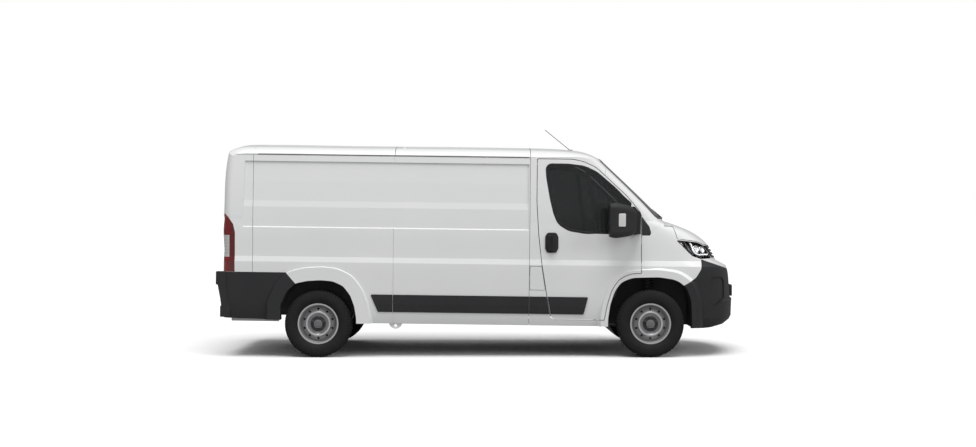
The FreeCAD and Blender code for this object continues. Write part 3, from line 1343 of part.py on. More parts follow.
moulding_shares = {"rear": [(-1.2963, 0.306, 0.1), (-1.1166, 0.306, 0), (-1.1166, 0.2192, 0), (-1.2348, 0.2192, 0.1)],
                   "middle": [(-1.1119, 0.306, 0), (-0.0024, 0.306, 0), (-0.0024, 0.2192, 0), (-1.1119, 0.2192, 0)],
                   "pillar": [(0.0024, 0.306, 0), (0.1418, 0.306, 0), (0.1686, 0.2192, 0), (0.0024, 0.2192, 0)],
                   "door": [(0.1513, 0.306, 0), (0.4823, 0.306, 0.1), (0.4468, 0.2192, 0.1), (0.1789, 0.2192, 0)]}
aerial_x = 969.0
aerial_foot_z = 2165.0
aerial_foot_top_z = 2205.0
aerial_foot_radius = 22.0
aerial_radius = 3.5
aerial_tip_x = 684.0
aerial_tip_z = 2420.0
screen_bow_radius = 2160.0
wiper_places = (-520.0, 130.0)
wiper_radius = 7.0
wiper_bend = 30.0
wiper_arm_shares = [(0.0, 1.0098, 0.08), (0.12, 1.0244, 0.24), (0.5, 1.0837, 0.14)]
wiper_span = 1000.0
jack_x = -881.0
jack_z = 350.0
jack_radius = 70.0
jack_outer_y = -934.0
jack_thickness = 8.0
jack_high_z = 365.0
jack_hole_radius = 14.0
jack_hole_z = 314.0
rear_handle_half_length = 100.0
rear_handle_z = 1080.0
rear_handle_inner_y = -40.0
rear_handle_outer_y = -120.0
rear_handle_proud_x = -2712.0


def proud_piece(shares, proud, outer):
    """Piece that stands proud of the right side within a side-view outline."""
    corners = cab_outline(shares)
    low, high = min(z for _, z, _ in corners), max(z for _, z, _ in corners)
    rear, front = min(x for x, _, _ in corners), max(x for x, _, _ in corners)
    away = outside_skin([(low, -proud), (high, -proud)], rear - smallest_round, front + smallest_round)
    return right_side(corners).cut([away, outer])


def mirror_right():
    """Mirror housing with a pocket for its glass, on a short arm."""
    def section(x, low_y, high_y, low_z, high_z, round_share):
        y0, y1 = mirror_inner_y + mirror_reach * low_y, mirror_inner_y + mirror_reach * high_y
        z0, z1 = mirror_low_z + mirror_height * low_z, mirror_low_z + mirror_height * high_z
        radius = corner_size * round_share
        return rounded_wire([(y0, z0, radius), (y1, z0, radius), (y1, z1, radius), (y0, z1, radius)],
                            in_yz(mirror_rear_x + mirror_length * x))

    housing = Part.makeLoft([section(*row) for row in mirror_row_shares], True, False)
    pocket = [(mirror_inner_y + mirror_reach * a, mirror_low_z + mirror_height * b, corner_size * r)
              for a, b, r in mirror_pocket_shares]
    housing = housing.cut(prism_x(pocket, mirror_rear_x - smallest_round, mirror_rear_x + mirror_pocket_depth))
    arm = prism_y(cab_outline(mirror_arm_shares), mirror_arm_outer_y, trim_inner_y)
    return housing.fuse(arm)


def door_handle(outer):
    """Plate with an upright grip and room for fingers behind it."""
    grip = proud_piece(grip_shares, grip_proud, outer)
    space = block(0, front_axle_x, grip_space_outer_y, trim_inner_y, grip_space_low_z, grip_space_high_z)
    return proud_piece(handle_shares, handle_proud, outer).fuse(grip.cut(space)).removeSplitter()


def moulding(name, outer):
    return solids(proud_piece(moulding_shares[name], moulding_proud, outer), smallest_strip)


def door_trim(outer):
    """Handle, moulding, mirror base and mirror of the right front door."""
    base = prism_y(cab_outline(mirror_base_shares), mirror_base_outer_y, trim_inner_y).cut(outer)
    mirror = mirror_right().cut([outer, base])
    return Part.makeCompound([solids(s, smallest_strip) for s in (door_handle(outer), base, moulding("door", outer), mirror)])


def rear_door_trim(smooth):
    half = rear_handle_half_length
    handle = block(rear_handle_proud_x, rear_zone_to_x, rear_handle_outer_y, rear_handle_inner_y, rear_handle_z - half,
                   rear_handle_z + half)
    return solids(handle.cut(smooth), smallest_strip)


def aerial(smooth):
    foot = rod(Vector(aerial_x, 0, aerial_foot_z), Vector(aerial_x, 0, aerial_foot_top_z), aerial_foot_radius)
    mast_foot = aerial_foot_top_z - aerial_foot_radius / 2
    mast = rod(Vector(aerial_x, 0, mast_foot), Vector(aerial_tip_x, 0, aerial_tip_z), aerial_radius)
    return foot.fuse(mast).cut(smooth)


def screen_place(y, z, lift):
    """Point lift ahead of the windscreen at cross place y and height z."""
    slope = (cowl_x - screen_mid_x) / (pillar_mid_z - cowl_z)
    bow = screen_bow_radius - math.sqrt(screen_bow_radius ** 2 - y * y)
    return Vector(cowl_x - (z - cowl_z) * slope - bow + lift, y, z)


def wipers(smooth):
    skin = moved(smooth, tab_gap, 0, 0)
    made = []
    for y in wiper_places:
        arm = [screen_place(y + wiper_span * a, cowl_z * b, corner_size * c) for a, b, c in wiper_arm_shares]
        made.append(pipe(arm, wiper_radius, wiper_bend).cut(skin))
    return Part.makeCompound([solids(s, smallest_strip) for s in made])


def jack_bracket():
    """Half disc with a hole that hangs under the sill ahead of the rear wheel."""
    inner_y = jack_outer_y + jack_thickness
    disc = rod(Vector(jack_x, jack_outer_y, jack_z), Vector(jack_x, inner_y, jack_z), jack_radius)
    hole = rod(Vector(jack_x, jack_outer_y, jack_hole_z), Vector(jack_x, inner_y, jack_hole_z), jack_hole_radius)
    return disc.cut(hole).common(slab(beyond_rear_x, beyond_front_x, 0, jack_high_z))


# Fixing points with standard threads, in the world frame
rack_rear_x = -1700.0
rack_front_x = -800.0
rack_y = 640.0
rack_top_z = 2200.0
rack_pad_radius = 15.0
rack_pad_height = 35.0
rack_hole_radius = 4.5
rack_hole_depth = 25.0
towing_y = -465.0
towing_z = 432.0
towing_face_x = 2510.0
towing_boss_length = 70.0
towing_boss_radius = 16.0
towing_hole_radius = 8.0
towing_hole_depth = 50.0
towing_opening_radius = 22.0


def add_roof_fixings(roof_piece):
    """Four level pads on the roof, each with an upright hole for a rack's bolt."""
    pads, holes = [], []
    for x in (rack_rear_x, rack_front_x):
        for y in (-rack_y, rack_y):
            top = Vector(x, y, rack_top_z)
            pads.append(rod(top - Vector(0, 0, rack_pad_height), top, rack_pad_radius))
            holes.append(rod(top - Vector(0, 0, rack_hole_depth), top + Vector(0, 0, overrun), rack_hole_radius))
    return roof_piece.fuse(pads).cut(holes)


def add_towing_socket(parts):
    """Threaded socket in the right rail's end, reached through a round opening in the bumper."""
    face = Vector(towing_face_x, towing_y, towing_z)
    out = Vector(beyond_front_x, towing_y, towing_z)
    boss = rod(face - Vector(towing_boss_length, 0, 0), face, towing_boss_radius)
    hole = rod(face - Vector(towing_hole_depth, 0, 0), out, towing_hole_radius)
    parts["chassis_rails"] = parts["chassis_rails"].fuse(boss).cut(hole)
    parts["front_bumper"] = parts["front_bumper"].cut(rod(face, out, towing_opening_radius))


def sprung_parts():
    """Everything on the springs, drawn level."""
    smooth, outer, inner = body_shapes()
    shell = arches_cut(outer.cut(inner))
    glass_skin = smooth.cut(envelope(skin_thickness, skin_thickness, skin_thickness, skin_thickness, overrun))
    step_skin = envelope(step_depth, step_depth, step_depth, step_depth, overrun)
    parts = front_body(shell, smooth, step_skin, glass_skin)
    parts.update(rear_body(shell, smooth))
    parts.update(underside(shell, inner))
    parts["dashboard"] = dashboard(inner)
    parts["seats"] = seats()
    parts["steering_wheel"] = steering_wheel(parts["dashboard"])
    parts["engine"] = engine()
    parts["fuel_tank"] = fuel_tank()
    parts["exhaust"] = exhaust()
    parts["aerial"] = aerial(smooth)
    parts["wipers"] = wipers(smooth)
    parts["door_trim_right"] = door_trim(outer)
    parts["rear_door_trim_right"] = rear_door_trim(smooth)
    mouldings = [moulding(name, outer) for name in ("rear", "middle", "pillar")]
    parts["body_mouldings"] = Part.makeCompound(with_mirrored(mouldings))
    parts["body_side_right"] = parts["body_side_right"].fuse(jack_bracket())
    parts["body_side_left"] = parts["body_side_left"].fuse(mirrored(jack_bracket()))
    for name in ("headlamp", "pillar_cover", "wing", "tail_lamp"):
        parts[name + "s"] = both_sides(parts.pop(name + "_right"))
    for name in ("door_front", "door_glass", "rear_door", "door_trim", "rear_door_trim"):
        parts[name + "_left"] = mirrored(parts[name + "_right"])
    return parts


def build():
    parts = {name: pitched(shape) for name, shape in sprung_parts().items()}
    parts["roof"] = add_roof_fixings(parts["roof"])
    add_towing_socket(parts)
    for end in ("front", "rear"):
        parts["tyre_%s_right" % end] = tyre(end)
        parts["rim_%s_right" % end] = rim(end)
    parts["knuckle_right"] = knuckle()
    for name in ("tyre_front", "rim_front", "tyre_rear", "rim_rear", "knuckle"):
        parts[name + "_left"] = mirrored(parts[name + "_right"])
    parts["front_suspension"] = front_suspension()
    parts["rear_axle"] = rear_axle()
    parts["leaf_springs"] = leaf_springs()
    return parts


for part_name, part_shape in build().items():
    save(part_shape, part_name)
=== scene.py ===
import math

import bmesh
import bpy
import numpy as np
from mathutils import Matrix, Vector


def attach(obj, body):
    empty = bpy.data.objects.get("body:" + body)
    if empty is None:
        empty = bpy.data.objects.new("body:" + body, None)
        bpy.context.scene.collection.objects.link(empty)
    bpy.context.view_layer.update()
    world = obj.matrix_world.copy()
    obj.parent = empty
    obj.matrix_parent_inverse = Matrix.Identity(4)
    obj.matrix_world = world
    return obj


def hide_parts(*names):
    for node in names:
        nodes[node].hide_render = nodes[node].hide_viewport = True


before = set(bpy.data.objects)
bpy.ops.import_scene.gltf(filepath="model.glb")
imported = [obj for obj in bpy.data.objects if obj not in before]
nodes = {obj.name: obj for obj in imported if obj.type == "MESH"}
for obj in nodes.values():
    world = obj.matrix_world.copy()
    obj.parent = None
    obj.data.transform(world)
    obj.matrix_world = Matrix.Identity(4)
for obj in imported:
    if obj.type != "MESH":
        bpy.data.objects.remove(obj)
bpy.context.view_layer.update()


# Studio: a white floor that runs to a white horizon, a broad lamp overhead, weaker soft ones from the near
# side, the front right and the rear left, and a camera at the van's middle height, 15 m from its side.
class Field:
    """A number that varies over a surface. Python's operators on it add Math nodes."""

    def __init__(self, finish, socket):
        self.finish = finish
        self.socket = socket

    def _math(self, operation, first, second=0.0):
        return self.finish.node("ShaderNodeMath", {"operation": operation}, {0: first, 1: second})

    def __add__(self, other):
        return self._math("ADD", self, other)

    def __radd__(self, other):
        return self._math("ADD", other, self)

    def __sub__(self, other):
        return self._math("SUBTRACT", self, other)

    def __rsub__(self, other):
        return self._math("SUBTRACT", other, self)

    def __mul__(self, other):
        return self._math("MULTIPLY", self, other)

    def __rmul__(self, other):
        return self._math("MULTIPLY", other, self)

    def __truediv__(self, other):
        return self._math("DIVIDE", self, other)

    def __pow__(self, other):
        return self._math("POWER", self, other)

    def __gt__(self, other):
        return self._math("GREATER_THAN", self, other)

    def __lt__(self, other):
        return self._math("LESS_THAN", self, other)

    def __abs__(self):
        return self._math("ABSOLUTE", self)

    def sine(self):
        return self._math("SINE", self)

    def smaller(self, other):
        return self._math("MINIMUM", self, other)

    def larger(self, other):
        return self._math("MAXIMUM", self, other)


class Finish:
    """A material whose nodes are written as expressions on its fields."""

    def __init__(self, name, **shader):
        self.material = bpy.data.materials.new(name)
        self.material.use_nodes = True
        self.tree = self.material.node_tree
        self.shader = self.tree.nodes["Principled BSDF"]
        self.set(**shader)

    def node(self, kind, settings=None, sockets=None, out=0):
        """Adds a node of that type: its settings come first, then the values or links of its sockets."""
        made = self.tree.nodes.new(kind)
        for key, value in (settings or {}).items():
            setattr(made, key, value)
        for key, value in (sockets or {}).items():
            if isinstance(value, Field):
                self.tree.links.new(value.socket, made.inputs[key])
            else:
                made.inputs[key].default_value = value
        return Field(self, made.outputs[out])

    def set(self, **shader):
        """Sets the shader's sockets, named with _ for a space, to numbers, colours or fields."""
        for key, value in shader.items():
            socket = self.shader.inputs[key.replace("_", " ").title().replace("Ior", "IOR")]
            if isinstance(value, Field):
                self.tree.links.new(value.socket, socket)
            else:
                socket.default_value = (*value, 1.0) if isinstance(value, tuple) else value

    def place(self):
        """The three Object coordinates, in metres."""
        at = self.node("ShaderNodeTexCoord", out="Object")
        return [self.node("ShaderNodeSeparateXYZ", sockets={0: at}, out=k) for k in range(3)]

    def noise(self, scale, detail=2.0):
        """Soft noise, with scale as its waves to a metre."""
        at = self.node("ShaderNodeTexCoord", out="Object")
        return self.node("ShaderNodeTexNoise", sockets={"Vector": at, "Scale": scale, "Detail": detail})

    def cells(self, scale):
        """Grain, with scale as its cells to a metre: the distance from each cell's middle."""
        at = self.node("ShaderNodeTexCoord", out="Object")
        return self.node("ShaderNodeTexVoronoi", sockets={"Vector": at, "Scale": scale})

    def blend(self, share, first, second):
        """Colour between first and second."""
        a, b = [c if isinstance(c, Field) else (*c, 1.0) for c in (first, second)]
        return self.node("ShaderNodeMix", {"data_type": "RGBA"}, {0: share, 6: a, 7: b}, out=2)

    def bump(self, height, strength, distance):
        """Bends the surface's normals by the slope of a field."""
        sockets = {"Height": height, "Strength": strength, "Distance": distance}
        made = self.node("ShaderNodeBump", sockets=sockets)
        self.tree.links.new(made.socket, self.shader.inputs["Normal"])


def stage_floor(reach):
    """Flat square: two parameters from -reach to reach."""
    corners = [(-reach, -reach, 0), (reach, -reach, 0), (reach, reach, 0), (-reach, reach, 0)]
    mesh = bpy.data.meshes.new("floor_sheet")
    mesh.from_pydata(corners, [], [(0, 1, 2, 3)])
    sheet = bpy.data.objects.new("floor_sheet", mesh)
    bpy.context.collection.objects.link(sheet)
    sheet.location.z = -0.001
    return sheet


floor_finish = Finish("studio_floor", roughness=0.9, specular_ior_level=0.0)
camera_ray = floor_finish.node("ShaderNodeLightPath", out="Is Camera Ray")
lit_shade, seen_shade = (0.34, 0.34, 0.34), (1.0, 1.0, 1.0)
floor_finish.set(base_color=floor_finish.blend(camera_ray, lit_shade, seen_shade))
floor = stage_floor(200.0)
floor.data.materials.append(floor_finish.material)

air_light, background_white = 0.22, 1.0
world = bpy.data.worlds.new("studio")
bpy.context.scene.world = world
world.use_nodes = True
air = world.node_tree
back = air.nodes["Background"]
rays = air.nodes.new("ShaderNodeLightPath")
shown = air.nodes.new("ShaderNodeMath")
shown.operation = "MAXIMUM"
air.links.new(rays.outputs["Is Camera Ray"], shown.inputs[0])
air.links.new(rays.outputs["Is Transmission Ray"], shown.inputs[1])
level = air.nodes.new("ShaderNodeMapRange")
level.inputs["To Min"].default_value = air_light
level.inputs["To Max"].default_value = background_white
air.links.new(shown.outputs[0], level.inputs["Value"])
air.links.new(level.outputs[0], back.inputs["Strength"])
back.inputs["Color"].default_value = (1.0, 1.0, 1.0, 1.0)


def lamp(name, strength, spread, aim, mirrored=True):
    """Far lamp whose light falls along aim, with a spread in degrees. Gloss shows it where it is mirrored."""
    data = bpy.data.lights.new(name, "SUN")
    data.energy = strength
    data.angle = math.radians(spread)
    made = bpy.data.objects.new(name, data)
    made.visible_glossy = mirrored
    made.rotation_mode = "QUATERNION"
    made.rotation_quaternion = Vector(aim).to_track_quat("-Z", "Y")
    bpy.context.collection.objects.link(made)


lamp("overhead", 2.20, 44.0, (0.0, 0.26, -1.0))
lamp("near_side", 0.50, 80.0, (0.1, 1.0, -0.75), mirrored=False)
lamp("front_right", 0.80, 30.0, (-1.0, 0.55, -0.50), mirrored=False)
lamp("rear_left", 0.38, 40.0, (0.7, -1.0, -0.80), mirrored=False)

picture_width, picture_height = 976.0, 447.0
focal_length, eye_level_row = 1447.0, 207.9
along_van, from_centre_plane, eye_height = 0.0856, 16.0, 1.55
camera_data = bpy.data.cameras.new("camera")
camera = bpy.data.objects.new("camera", camera_data)
bpy.context.collection.objects.link(camera)
camera_data.sensor_width = 36.0
camera_data.lens = 36.0 * focal_length / picture_width
camera_data.shift_y = (eye_level_row - picture_height / 2) / picture_width
camera_data.clip_end = 500.0
camera.location = (along_van, -from_centre_plane, eye_height)
camera.rotation_euler = (math.radians(90.0), 0.0, 0.0)
bpy.context.scene.camera = camera
bpy.context.scene.view_settings.view_transform = "Standard"


# Body panels: pressed steel sheet, spot welded, dipped, primed and sprayed in solid white under a clear
# lacquer. The roof's three sheets meet in two cross joints, filled with dark sealer.
def white_paint(name):
    """The sprayed finish, with its slight ripple, and its colour, which dust dulls here and there."""
    paint = Finish(name, roughness=0.33, coat_weight=0.35, coat_roughness=0.08, specular_ior_level=0.4)
    colour = paint.blend(paint.noise(1.7, 3.0), (0.80, 0.815, 0.81), (0.84, 0.85, 0.845))
    paint.bump(paint.noise(420.0, 1.0), 0.05, 0.0006)
    return paint, colour


def dress(names, finish):
    """Gives CAD nodes a finish."""
    for name in names:
        data = nodes[name].data
        data.materials.clear()
        data.materials.append(finish.material)


body_paint, white = white_paint("white_body_paint")
body_paint.set(base_color=white)
dress(["body_side_right", "body_side_left", "sliding_door", "rear_frame", "rear_door_right",
       "rear_door_left", "cab_frame", "wings", "bonnet", "door_front_right", "door_front_left", "fuel_flap",
       "nose_trim"], body_paint)
roof_paint, white = white_paint("white_roof_paint")
cab_joint, load_joint, joint_half_width = 0.531, -0.883, 0.0030
along = roof_paint.place()[0]
sealer = (abs(along - cab_joint) < joint_half_width).larger(abs(along - load_joint) < joint_half_width)
roof_paint.set(base_color=roof_paint.blend(sealer, white, (0.05, 0.05, 0.05)))
dress(["roof"], roof_paint)

# Cladding: bumpers, side mouldings and mirror bases, injection moulded in dark grey polypropylene
# and left unpainted, with the fine leather grain of the tool.
cladding = Finish("dark_grained_plastic", specular_ior_level=0.35)
grain = cladding.cells(420.0)
shade = cladding.blend(cladding.noise(2.3, 3.0), (0.024, 0.025, 0.026), (0.034, 0.035, 0.036))
cladding.set(base_color=shade, roughness=0.55 + 0.16 * grain)
cladding.bump(grain, 0.35, 0.0006)
dress(["front_bumper", "rear_bumper", "body_mouldings", "pillar_covers", "door_trim_right", "door_trim_left",
       "rear_door_trim_right", "rear_door_trim_left"], cladding)


# Grille: a black panel of polished plastic between the headlamps, moulded in one piece with its bars
# and clipped to the nose.
def mottled(name, first, second, scale, detail=2.0, **shader):
    """Finish whose colour wanders between two shades with a noise of that scale."""
    finish = Finish(name, **shader)
    finish.set(base_color=finish.blend(finish.noise(scale, detail), first, second))
    return finish


black_gloss = mottled("black_gloss_plastic", (0.010, 0.010, 0.011), (0.018, 0.018, 0.019), 9.0,
                      roughness=0.25, specular_ior_level=0.5)
black_gloss.bump(black_gloss.noise(300.0), 0.05, 0.0004)
dress(["grille"], black_gloss)

# Glass: the laminated windscreen, glued into its frame, and tempered door windows, all tinted, with the tint
# made much darker as painted shade for the dim cab behind them. From outside they look nearly black.
glass = mottled("tinted_glass_with_painted_shade", (0.085, 0.095, 0.095), (0.11, 0.12, 0.12), 3.0,
                roughness=0.03, transmission_weight=0.86, specular_ior_level=0.5)
dress(["windscreen", "door_glass_right", "door_glass_left"], glass)

# Underbody: steel under a thick dark coating against stones and salt, with the rails' outer skirts and
# jacking points in the body's white. Hubs, axle and engine are bare castings, the exhaust dull pipe.
coating_shades = (0.03, 0.03, 0.032), (0.07, 0.068, 0.065)
chassis = mottled("dark_underbody_coating", *coating_shades, 6.0, 4.0, roughness=0.75)
chassis.bump(chassis.noise(160.0, 3.0), 0.4, 0.001)
dress(["floor", "arch_liners", "firewall", "front_suspension", "fuel_tank", "leaf_springs"], chassis)
rails = Finish("chassis_paint", roughness=0.6)
skirt_side = 0.872
skirt = abs(rails.place()[1]) > skirt_side
coating = rails.blend(rails.noise(6.0, 4.0), *coating_shades)
rails.set(base_color=rails.blend(skirt, coating, (0.62, 0.63, 0.63)))
rails.bump(rails.noise(160.0, 3.0), 0.2, 0.0006)
dress(["chassis_rails"], rails)
cast = mottled("cast_iron", (0.09, 0.085, 0.08), (0.17, 0.165, 0.16), 8.0, 4.0, roughness=0.7, metallic=0.5)
cast.bump(cast.noise(240.0, 3.0), 0.4, 0.0008)
dress(["knuckle_right", "knuckle_left", "rear_axle", "engine"], cast)
pipework = mottled("dull_steel_pipe", (0.25, 0.24, 0.22), (0.45, 0.44, 0.42), 9.0, 4.0,
                   roughness=0.45, metallic=1.0)
pipework.bump(pipework.noise(120.0), 0.2, 0.0006)
dress(["exhaust"], pipework)

# Cab: dashboard, steering wheel and bulkhead lining, moulded in dark plastic with a fine grain. The
# wipers' arms and the aerial have a coating of the same shade.
cab_plastic = mottled("cab_plastic", (0.035, 0.035, 0.037), (0.055, 0.055, 0.057), 4.0, roughness=0.6)
cab_plastic.bump(cab_plastic.cells(500.0), 0.3, 0.0005)
dress(["dashboard", "steering_wheel", "bulkhead", "aerial", "wipers"], cab_plastic)


# Tyres: 225 mm wide radials of black rubber, moulded in one piece with four grooves round the tread,
# slanted slots over the shoulders and a ribbed sidewall. They are pressed over the rim's edges.
def surface(name, grids, finish, body, sharp=32.0, closed=True):
    """One mesh of four-sided faces between neighbouring points of each grid (rows, columns, 3). A grid's word
    has u where its last row joins the first, v where its last column does, and c where flat ends close it."""
    points, faces, start = [], [], 0
    for grid, word in grids:
        rows, columns = grid.shape[:2]
        index = start + np.arange(rows * columns).reshape(rows, columns)
        ends = [index[0, ::-1].tolist(), index[-1].tolist()] if "c" in word else []
        if "u" in word:
            index = np.vstack([index, index[:1]])
        if "v" in word:
            index = np.hstack([index, index[:, :1]])
        quads = np.stack([index[:-1, :-1], index[1:, :-1], index[1:, 1:], index[:-1, 1:]], -1)
        faces += quads.reshape(-1, 4).tolist() + ends
        points.append(grid.reshape(-1, 3))
        start += rows * columns
    mesh = bpy.data.meshes.new(name)
    mesh.from_pydata(np.concatenate(points), [], faces)
    if closed:
        work = bmesh.new()
        work.from_mesh(mesh)
        bmesh.ops.remove_doubles(work, verts=work.verts, dist=1e-6)
        bmesh.ops.recalc_face_normals(work, faces=work.faces)
        work.to_mesh(mesh)
        work.free()
    mesh.polygons.foreach_set("use_smooth", np.ones(len(mesh.polygons), bool))
    mesh.set_sharp_from_angle(angle=math.radians(sharp))
    mesh.materials.append(finish.material)
    piece = bpy.data.objects.new(name, mesh)
    bpy.context.collection.objects.link(piece)
    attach(piece, body)
    return piece


def eased(points, count):
    """Smooth line through points: Catmull-Rom, a cubic between each two that keeps the slope at both."""
    p = np.asarray(points, float)
    p = np.vstack([2 * p[0] - p[1], p, 2 * p[-1] - p[-2]])
    t = np.linspace(0, len(p) - 3 - 1e-9, count)
    k, f = t.astype(int), (t % 1)[:, None]
    a, b, c, d = p[k], p[k + 1], p[k + 2], p[k + 3]
    bend, twist = 2 * a - 5 * b + 4 * c - d, 3 * b - 3 * c + d - a
    return 0.5 * (2 * b + (c - a) * f + bend * f ** 2 + twist * f ** 3)


rubber = mottled("tyre_rubber", (0.012, 0.012, 0.012), (0.021, 0.021, 0.021), 12.0, 4.0,
                 roughness=0.8, specular_ior_level=0.3)
rubber.bump(rubber.noise(300.0), 0.3, 0.0006)
sides = ("right", -1), ("left", 1)
tyre_radius = 0.348
axle = {"front": (1.772, 0.905), "rear": (-1.678, 0.895)}
sidewall = eased([(0.2030, 0.0796), (0.2150, 0.0845), (0.2290, 0.0985), (0.2500, 0.1085), (0.2750, 0.1125),
                  (0.3000, 0.1108), (0.3200, 0.1065), (0.3330, 0.1005), (0.3410, 0.0935),
                  (0.3450, 0.0860)], 26)
tread = np.array([0.0800, 0.0700, 0.0625, 0.0615, 0.0545, 0.0535, 0.0400, 0.0245, 0.0235, 0.0165, 0.0155,
                  0.0060])
groove_middles, groove_half_width, ribs_half_width, tread_half_width = (0.058, 0.020), 0.004, 0.0618, 0.084
crown_fall, groove_depth, slot_depth, cut_depth = 0.002, 0.0075, 0.0105, 0.0035
sidewall_line, line_half_width, line_depth = 0.1095, 0.0012, 0.0012
slot_foot, slot_run, slant = 0.306, 0.016, 0.9
pitches, slot_shares = 66, (0.0, 0.03, 0.22, 0.25, 0.46, 0.62, 0.64, 0.69, 0.71, 0.86)


def tyre_grid(x, y):
    """Section turned round the axle. The section is the sidewall's line and a tread that falls a little from
    its middle to its edge and steps down in the grooves. Each pitch has a slot over the shoulder and a fine
    cut in the ribs, and the angle grows with the distance from the middle, so that both are slanted."""
    crown = tyre_radius - crown_fall * (tread / tread_half_width) ** 2
    half = np.vstack([sidewall, np.stack([crown, tread], 1)])
    across = np.concatenate([half[:, 1], -half[::-1, 1]])
    radius = np.concatenate([half[:, 0], half[::-1, 0]])
    far = np.abs(across)
    groove = np.any([np.abs(far - middle) < groove_half_width for middle in groove_middles], axis=0)
    line = (np.abs(far - sidewall_line) < line_half_width) * (radius < 0.3)
    radius = radius - groove_depth * groove - line_depth * line
    share = np.tile(slot_shares, pitches)
    angle = (np.repeat(np.arange(pitches), len(slot_shares)) + share) * 2 * math.pi / pitches
    shoulder = ((radius > 0.310) & (far > ribs_half_width)) * np.clip((radius - slot_foot) / slot_run, 0, 1)
    rib = (far < ribs_half_width) & ~groove & (radius > 0.34)
    wide_slot = ((share > 0.01) & (share < 0.24)).astype(float)
    fine_cut = ((share > 0.63) & (share < 0.70)).astype(float)
    r = radius - slot_depth * wide_slot[:, None] * shoulder - cut_depth * fine_cut[:, None] * rib
    turn = angle[:, None] + slant * np.clip(far, 0, 0.1) * np.where(radius > 0.30, 1.0, 0.0)
    place = np.broadcast_to(across, r.shape)
    return np.stack([x + r * np.sin(turn), y + place, tyre_radius + r * np.cos(turn)], -1)


for end, (axle_x, axle_y) in axle.items():
    for side, sign in sides:
        made = surface("road_tyre_%s_%s" % (end, side), [(tyre_grid(axle_x, sign * axle_y), "uv")], rubber,
                       "wheel_%s_%s" % (end, side), 25.0)
        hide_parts("tyre_%s_%s" % (end, side))

# Wheels: pressed 15 inch steel discs welded into rolled rims, painted silver, with a black moulded
# centre cover over the five bolts and a plain grey cap in its middle.
wheel_steel = Finish("silver_wheel_paint", roughness=0.30, metallic=0.7, coat_weight=0.3)
at = wheel_steel.place()
from_axle = [((at[0] - x) ** 2.0 + (at[2] - tyre_radius) ** 2.0) ** 0.5 for x, y in axle.values()]
radius = from_axle[0].smaller(from_axle[1])
disc_crest, disc_crest_width, rim_crest, rim_crest_width = 0.119, 0.026, 0.203, 0.014
# Painted highlight: bright rings at the disc's and the rim's crests stand for the light they catch, and the
# steel between them is kept darker.
crest_highlight = (1.0 - abs(radius - disc_crest) / disc_crest_width).larger(
    1.0 - abs(radius - rim_crest) / rim_crest_width).larger(0.0)
shade = wheel_steel.blend(wheel_steel.noise(30.0, 3.0), (0.27, 0.27, 0.275), (0.34, 0.34, 0.345))
wheel_steel.set(base_color=wheel_steel.blend(crest_highlight, shade, (0.86, 0.86, 0.87)))
wheel_steel.bump(wheel_steel.noise(500.0), 0.08, 0.0004)
dress(["rim_front_right", "rim_front_left", "rim_rear_right", "rim_rear_left"], wheel_steel)
cover_plastic = mottled("wheel_cover_plastic", (0.028, 0.028, 0.03), (0.04, 0.04, 0.042), 60.0, roughness=0.5)
cover_plastic.bump(cover_plastic.cells(700.0), 0.2, 0.0004)
cap_paint = mottled("grey_cap_paint", (0.17, 0.17, 0.175), (0.22, 0.22, 0.225), 60.0,
                    roughness=0.4, metallic=0.3)
cap_paint.bump(cap_paint.noise(500.0), 0.1, 0.0004)
bolt_circle, boss_spread, boss_lift, boss_limit = 0.059, 0.00025, 0.0155, 0.0785
cover_radius, cover_edge, cover_lift, cover_face, cover_back = 0.080, 0.008, 0.0045, 0.0735, 0.0700


def cover_height(r, angle):
    """Rosette: a flat dish with a rounded edge and five round bosses over the bolts, one every 72 degrees."""
    boss = (r * np.sin(angle)) ** 2 + (r * np.cos(angle) - bolt_circle) ** 2
    lift = boss_lift * np.clip(1.35 - boss / boss_spread, 0, 1) ** 0.5
    return cover_lift * np.clip((cover_radius - r) / cover_edge, 0, 1) ** 0.5 + lift * (r < boss_limit)


rings = np.array([0.0, 0.020, 0.0325, 0.0335, 0.038, 0.043, 0.048, 0.053, 0.058, 0.063, 0.068, 0.071, 0.0735,
                  0.0755, 0.0775, 0.0792, cover_radius])
spin = np.linspace(0, 2 * math.pi, 120, endpoint=False)
fold = (spin + math.pi / 5) % (2 * math.pi / 5) - math.pi / 5
cap_rows = eased([(0.0, 0.0225), (0.016, 0.0222), (0.027, 0.0205), (0.0315, 0.0185), (0.0322, 0.0150),
                  (0.0322, 0.002)], 14)
for end, (axle_x, axle_y) in axle.items():
    for side, sign in sides:
        height = cover_height(rings[:, None], fold[None, :])
        face = np.stack([axle_x + rings[:, None] * np.sin(spin), sign * (axle_y + cover_face + height),
                         tyre_radius + rings[:, None] * np.cos(spin)], -1)
        back = face[-1:].copy()
        back[..., 1] = sign * (axle_y + cover_back)
        surface("wheel_cover_%s_%s" % (end, side), [(np.concatenate([face, back]), "vc")], cover_plastic,
                "wheel_%s_%s" % (end, side), 40.0)
        turn = np.broadcast_to(spin, (len(cap_rows), len(spin)))
        cap = np.stack([axle_x + cap_rows[:, :1] * np.sin(turn),
                        np.broadcast_to(sign * (axle_y + cover_face + cap_rows[:, 1:]), turn.shape),
                        tyre_radius + cap_rows[:, :1] * np.cos(turn)], -1)
        surface("wheel_cap_%s_%s" % (end, side), [(cap, "vc")], cap_paint, "wheel_%s_%s" % (end, side),
                40.0)

